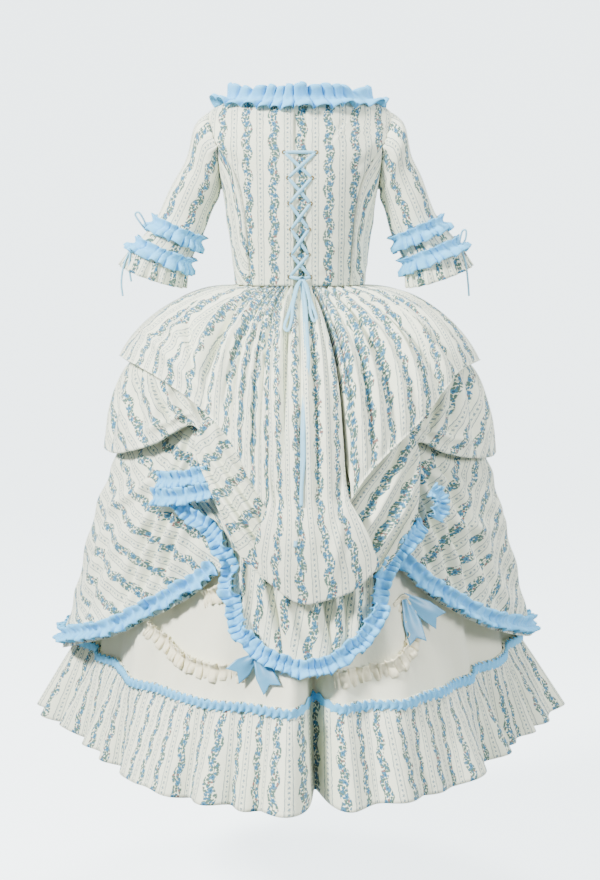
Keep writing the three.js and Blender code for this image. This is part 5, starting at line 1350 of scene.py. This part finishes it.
DRAPE_RIGHT_FOLDS = swagged((820, 460), 3.7, 5.0, -1.2, 5, [
    (0.05, 0.1, 0.26, 0.9, 16, 8), (0.14, 0.05, 0.36, 0.92, 20, 8), (0.22, 0.1, 0.46, 0.95, 16, 8),
    (0.1, 0.1, 0.31, 0.92, 9, -7), (0.2, 0.15, 0.41, 0.95, 10, -8), (0.32, 0.1, 0.56, 0.95, 18, 8),
    (0.27, 0.15, 0.5, 0.95, 9, -7), (0.44, 0.15, 0.64, 0.95, 20, 8), (0.4, 0.2, 0.6, 0.9, 10, -6),
    (0.6, 0.1, 0.74, 0.9, 24, 8), (0.78, 0.1, 0.86, 0.9, 26, 8), (0.68, 0.2, 0.8, 0.9, 13, -7),
    (0.3, 0.32, 0.62, 0.26, 12, 6), (0.35, 0.6, 0.68, 0.5, 12, 5),
])
drape_left = panel("side_drape_left", lambda base: turned_print(base, 1.0, -54, 12, 7),
                   DRAPE_LEFT, 160, 90, DRAPE_LEFT_FOLDS, turned=0)
drape_right = panel("side_drape_right", lambda base: turned_print(base, 0.0, 36, 12, 7),
                    DRAPE_RIGHT, 160, 90, DRAPE_RIGHT_FOLDS, turned=0)

# The cowls hang between the side panels' edges and the centre panel: level, left, right and out.
COWL_LEFT = [
    (4.75, -28.5, -17, -24), (5.35, -31, -13, -24), (5.85, -26.5, -10, -22), (6.5, -21, -6, -21),
    (6.9, -17.5, -5, -21), (7.15, -14.5, -4, -22), (7.4, -8, -3, -23),
]
COWL_RIGHT = [
    (5.0, 22, 33, -24), (5.45, 18, 36, -24), (6.0, 12, 35, -22), (6.5, 11, 33, -21), (6.9, 12, 29, -22),
    (7.15, 14, 25, -23), (7.3, 16, 22, -23),
]


def cowl(rows, folds=no_folds):
    u, v = share_grid(56, 64)
    s = spline(rows, v * (len(rows) - 1))
    return on_form(DRAPE_FORM, lerp(s[..., 1], s[..., 2], u), s[..., 0], s[..., 3] + folds(u, v))


COWL_LEFT_FOLDS = creased((150, 420), 0, [
    (0.02, 0.3, 0.75, 0.95, 11, 8), (0.05, 0.1, 0.95, 0.75, 12, 7), (0.1, 0.3, 0.9, 0.92, 7, -7),
    (0.3, 0.05, 1.0, 0.55, 12, 6), (0.3, 0.2, 1.0, 0.7, 7, -6), (0.02, 0.12, 0.02, 0.7, 7, 4),
], 0, 1, lower=1)
COWL_RIGHT_FOLDS = creased((170, 400), 0, [
    (0.95, 0.3, 0.3, 0.95, 11, 8), (0.8, 0.12, 0.1, 0.8, 12, 7), (0.9, 0.2, 0.2, 0.9, 7, -7),
    (0.55, 0.05, 0.05, 0.55, 11, 6), (0.65, 0.1, 0.1, 0.68, 7, -6), (0.98, 0.3, 0.6, 0.95, 8, -5),
], 0, 1, lower=1)
COWLS = {"left": (COWL_LEFT, COWL_LEFT_FOLDS, 52), "right": (COWL_RIGHT, COWL_RIGHT_FOLDS, 28)}
for side, (rows, folds, angle) in COWLS.items():
    cloth(f"overskirt_cowl_{side}", cowl(rows, folds), turned_print(cowl(rows), 0.5, angle, 5), PRINT,
          [f"overskirt_cowl_{side}"], "draped", ["petticoat"])

TAIL_FOLDS = creased((760, 330), 2.9, [
    (0.3, 0.1, 0.42, 0.85, 12, 7), (0.36, 0.1, 0.5, 0.85, 14, 7), (0.34, 0.2, 0.46, 0.9, 7, -6),
    (0.5, 0.15, 0.55, 0.85, 14, 7), (0.62, 0.15, 0.6, 0.88, 14, 7), (0.56, 0.2, 0.58, 0.88, 8, -6),
    (0.7, 0.15, 0.66, 0.88, 12, 7), (0.66, 0.2, 0.63, 0.88, 7, -6), (0.78, 0.15, 0.74, 0.85, 12, 6),
    (0.24, 0.2, 0.3, 0.85, 10, 5), (0.86, 0.2, 0.84, 0.85, 10, 5),
], 0.7, 1, lower=2)
tail = panel("overskirt_tail", lambda base: turned_print(base, 0.5, 12, 8),
             TAIL, 220, 46, TAIL_FOLDS, "draped", turned=0)


# Blue ruffles along the lower edges.
def along_edge(points, v, start, end, count):
    """A line on a grid at one share of its height, with its way out and its way down."""
    rows = points.shape[0] - 1
    columns = points.shape[1]
    low, high = int(start * (columns - 1)), int(end * (columns - 1)) + 1

    def row(share):
        at = min(max(share, 0), 1) * rows
        j = min(int(at), rows - 1)
        return lerp(points[j], points[j + 1], at - j)[low:high]

    line = row(v)
    down = row(min(v + 0.05, 1.0)) - row(v - 0.05)
    padded = np.pad(line, ((6, 6), (0, 0)), "edge")
    soft = np.stack([np.convolve(padded[:, k], np.ones(13) / 13, "valid") for k in range(3)], -1)
    tangent = unit(np.gradient(soft, axis=0))
    down = unit(down - tangent * (down * tangent).sum(1, keepdims=True))
    out = unit(np.cross(down, tangent))
    made = evenly(np.concatenate([lerp(line, soft, 0.7), out, down], 1), count)
    return made[:, :3], unit(made[:, 3:6]), unit(made[:, 6:])


def edge_frill(points, start, end, waves, seed, lift=3.0):
    """A ruffle near the lower edge, from one share of its length to another."""
    point, out, down = along_edge(points, 0.95, start, end, waves * WAVE_COLUMNS)
    return frill(point, out, down, waves, 34, 15, lift, 0.5, seed)


ruffle("drape_ruffle_left", edge_frill(drape_left, 0.0, 0.97, 42, 2), ["side_drape_left"])
ruffle("drape_ruffle_right", edge_frill(drape_right, 0.1, 1.0, 40, 5), ["side_drape_right"])


def form_frill(route, waves, seed):
    """A ruffle on the draped form: turn, level and how far off the form."""
    s = spline(route, np.linspace(0, len(route) - 1, waves * WAVE_COLUMNS))
    point = on_form(DRAPE_FORM, s[:, 0], s[:, 1], s[:, 2])
    out = unit(on_form(DRAPE_FORM, s[:, 0], s[:, 1], s[:, 2] + 10) - point)
    tangent = unit(np.gradient(point, axis=0))
    down = unit(np.cross(tangent, out))
    down = down * np.where(down[:, 2:3].mean() > 0, -1, 1)
    return frill(point, out, down, waves, 34, 13, 2.0, 0.5, seed)


stacked = [
    form_frill([(-43, 6.02, -26), (-35, 5.96, -22), (-26, 5.8, -24)], 7, 3),
    form_frill([(-44.5, 6.33, -24), (-34, 6.25, -18), (-24, 6.06, -22)], 8, 6),
    form_frill([(38, 6.15, -22), (41, 6.38, -22), (38.5, 6.66, -22)], 5, 9),
]
ruffle("tail_ruffle", edge_frill(tail, 0.0, 1.0, 58, 8, 3.5), ["overskirt_tail"], more=stacked)


# Cream ruffles on the petticoat.
def petticoat_frill(route, waves, seed):
    turn, z = spline(route, np.linspace(0, len(route) - 1, waves * WAVE_COLUMNS)).T
    point = petticoat_ring(petticoat_level(z), turn)
    tangent = unit(np.gradient(point, axis=0))
    out = level_out(point)
    down = unit(np.cross(tangent, out))
    down *= np.where(down[:, 2:3] > 0, -1, 1)
    return frill(point, out, down, waves, 34, 10, 1.6, 0.4, seed)


CREAM_LEFT = [(-45, -965), (-36, -995), (-26, -1010), (-13, -1010)]
CREAM_RIGHT = [(8, -1020), (16, -1013), (23, -1003), (29, -978), (31, -940), (28, -903)]
CREAM_BIT = [(-20, -868), (-22.5, -890), (-28, -903)]
ruffle("petticoat_ruffle_left", petticoat_frill(CREAM_LEFT, 17, 3), ["petticoat"], FRILL_CREAM,
       more=[petticoat_frill(CREAM_BIT, 5, 5)])
ruffle("petticoat_ruffle_right", petticoat_frill(CREAM_RIGHT, 17, 7), ["petticoat"], FRILL_CREAM)

# The lacing: strands from eyelet to eyelet, the knot and the bow's loops.
KNOT = np.array([4.0, -108, -311])
LOOP = [
    (0, 0, 0), (11, 13, 27), (18, 38, 81), (27, 64, 128), (34, 85, 156), (27, 92, 166), (20, 72, 140),
    (17, 44, 94), (7, 9, 20), (1, 1, 1),
]
OUT = np.array([0, -1.0, 0])


def strand(a, b, raised, steps=24):
    q = np.linspace(0, 1, steps + 1)[:, None]
    lift = 1.6 + (raised + 0.7) * np.sin(np.pi * q) - 2.6 * (np.exp(-q * 14) + np.exp(-(1 - q) * 14))
    line = lerp(a, b, q) + OUT * lift
    along = unit(np.gradient(line, axis=0))
    side = unit(np.cross(along, np.broadcast_to(OUT, along.shape)))
    width = LACE_WIDTH * (1 - 0.5 * (np.exp(-q[:, 0] * 12) + np.exp(-(1 - q[:, 0]) * 12)))
    return ribbon_grid(line, side, np.cross(side, along), width, LACE_THICK, 0.5)


def bow_loop(sign, reach, steps=60):
    q = np.linspace(0, 1, steps + 1)
    s = spline(LOOP, q * (len(LOOP) - 1))
    rest = 4 * np.sin(np.pi * q)
    line = np.stack([
        KNOT[0] + sign * s[:, 0] * reach,
        KNOT[1] - 3 - rest - s[:, 2] * reach,
        KNOT[2] - s[:, 1] * reach,
    ], -1)
    along = unit(np.gradient(line, axis=0))
    face = np.broadcast_to(np.array([0, -0.75, 0.66]), along.shape)
    side = unit(np.cross(along, face))
    out = unit(np.cross(side, along))
    return ribbon_grid(line, side, out, LACE_WIDTH * 0.85, LACE_THICK, 0.3)


def lacing():
    parts = [strand(eyelet_at["left", 0][0], eyelet_at["right", 0][0], 0)]
    for k in range(5):
        parts.append(strand(eyelet_at["left", k][0], eyelet_at["right", k + 1][0], 0))
        parts.append(strand(eyelet_at["right", k][0], eyelet_at["left", k + 1][0], 1.5))
    for side in ("left", "right"):
        parts.append(strand(eyelet_at[side, 5][0], KNOT, 0.5))
    parts += [bow_loop(-1, 1.0), bow_loop(1, 0.82)]
    t = np.linspace(0, 2 * np.pi, 13)
    knot = KNOT + np.stack([5 * np.cos(t), -1 - 3.2 * np.abs(np.sin(t)) ** 0.7, 5 * np.sin(t)], -1)
    parts.append(ribbon_grid(knot, np.broadcast_to([0, 1.0, 0], knot.shape), unit(knot - KNOT), 6, 1.2))
    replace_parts(ribbons("lacing", parts), "lacing")


lacing()

# Satin bows: a knot and its ends, by turn, level and out of the form.
BOWS = {
    "left": ((-10.5, 8.3, -27), ((-15.5, 8.62, -18), (-6, 8.78, -10))),
    "right": ((29.5, 7.62, -51), ((31, 8.25, -38), (39.5, 8.0, -38))),
}


def satin_end(start, end, notch=12, steps=24):
    along = unit(end - start)
    out = unit(np.array([end[0], end[1], 0]))
    side = unit(np.cross(along, out))
    out = unit(np.cross(side, along))
    q = np.linspace(0, 1, steps + 1)[:, None]
    w = np.linspace(-1, 1, 13)[None, :]
    half = 19 * (0.3 + 0.7 * np.minimum(q * 1.8, 1))
    cup = 3.5 * np.cos(w * 4.0) * np.exp(-q * 2.5) + 1.5 * np.sin(3 * q + w)
    cut = notch * (1 - np.abs(w)) * smooth(q, 0.55, 1.0)
    length = np.linalg.norm(end - start)
    points = start + along * (q * length - cut)[..., None]
    return points + side * (half * w)[..., None] + out * (cup + 1)[..., None]


for name, (knot, ends) in BOWS.items():
    start = on_form(DRAPE_FORM, *knot)
    parts = [satin_end(start, on_form(DRAPE_FORM, *end)) for end in ends]
    prints = [straight_print(p, 38, 70) for p in parts]
    cloth(f"satin_bow_{name}", parts[0], prints[0], SATIN, [f"satin_bow_{name}"], "folded", ["petticoat"],
          False, 0.6, [(parts[1], prints[1])])

# Floor, backdrop and light.
n = Nodes("pale floor")
FLOOR = n.finish(n.mix(n.noise(n.place(), 0.3, 1.0), rgb("#E9EEEF"), rgb("#E6ECED")), 0.95, 0.0)
n.bsdf.inputs["Emission Color"].default_value = rgb("#E0ECF0")
n.bsdf.inputs["Emission Strength"].default_value = 3.7
floor_mesh = bpy.data.meshes.new("floor")
# Radius and height of the round floor, which turns up into a wall.
profile = [(0.01, -1.75), (5.5, -1.75), (6.6, -1.5), (7.6, -0.8), (8.2, 0.3), (8.4, 2.0), (8.4, 9.0)]
SPOKES = 72
spoke = [2 * math.pi * k / SPOKES for k in range(SPOKES)]
verts = [(r * math.sin(a), r * math.cos(a), z) for r, z in profile for a in spoke]
faces = []
for j in range(len(profile) - 1):
    for k in range(SPOKES):
        low, last = j * SPOKES, (k + 1) % SPOKES
        faces.append((low + k, low + last, low + SPOKES + last, low + SPOKES + k))
floor_mesh.from_pydata(verts, [], faces)
floor_mesh.polygons.foreach_set("use_smooth", [True] * len(faces))
floor_mesh.materials.append(FLOOR)
floor = bpy.data.objects.new("floor", floor_mesh)
scene.collection.objects.link(floor)
floor.visible_diffuse = False

world = bpy.data.worlds.new("studio")
world.use_nodes = True
world.node_tree.nodes["Background"].inputs[0].default_value = rgb("#E8EEF0")
world.node_tree.nodes["Background"].inputs[1].default_value = 0.4
scene.world = world


def area_light(name, place, target, size, power, colour=(1, 1, 1)):
    data = bpy.data.lights.new(name, "AREA")
    data.shape = "RECTANGLE"
    data.size, data.size_y = size
    data.energy = power
    data.color = colour
    obj = bpy.data.objects.new(name, data)
    scene.collection.objects.link(obj)
    obj.location = place
    direction = np.array(target, float) - np.array(place, float)
    direction /= np.linalg.norm(direction)
    yaw = math.atan2(direction[0], direction[1])
    pitch = math.asin(direction[2])
    obj.rotation_euler = (math.pi / 2 + pitch, 0, -yaw)
    return obj


area_light("key", (-3.0, -2.4, 2.0), (0, 0, -0.6), (0.8, 0.8), 640, (1.0, 0.99, 0.97))
area_light("fill", (3.2, -2.2, 0.6), (0, 0, -0.7), (1.2, 1.2), 150, (0.97, 0.99, 1.0))
area_light("top", (0.3, -0.4, 3.2), (0, 0, -0.6), (1.2, 1.2), 160)
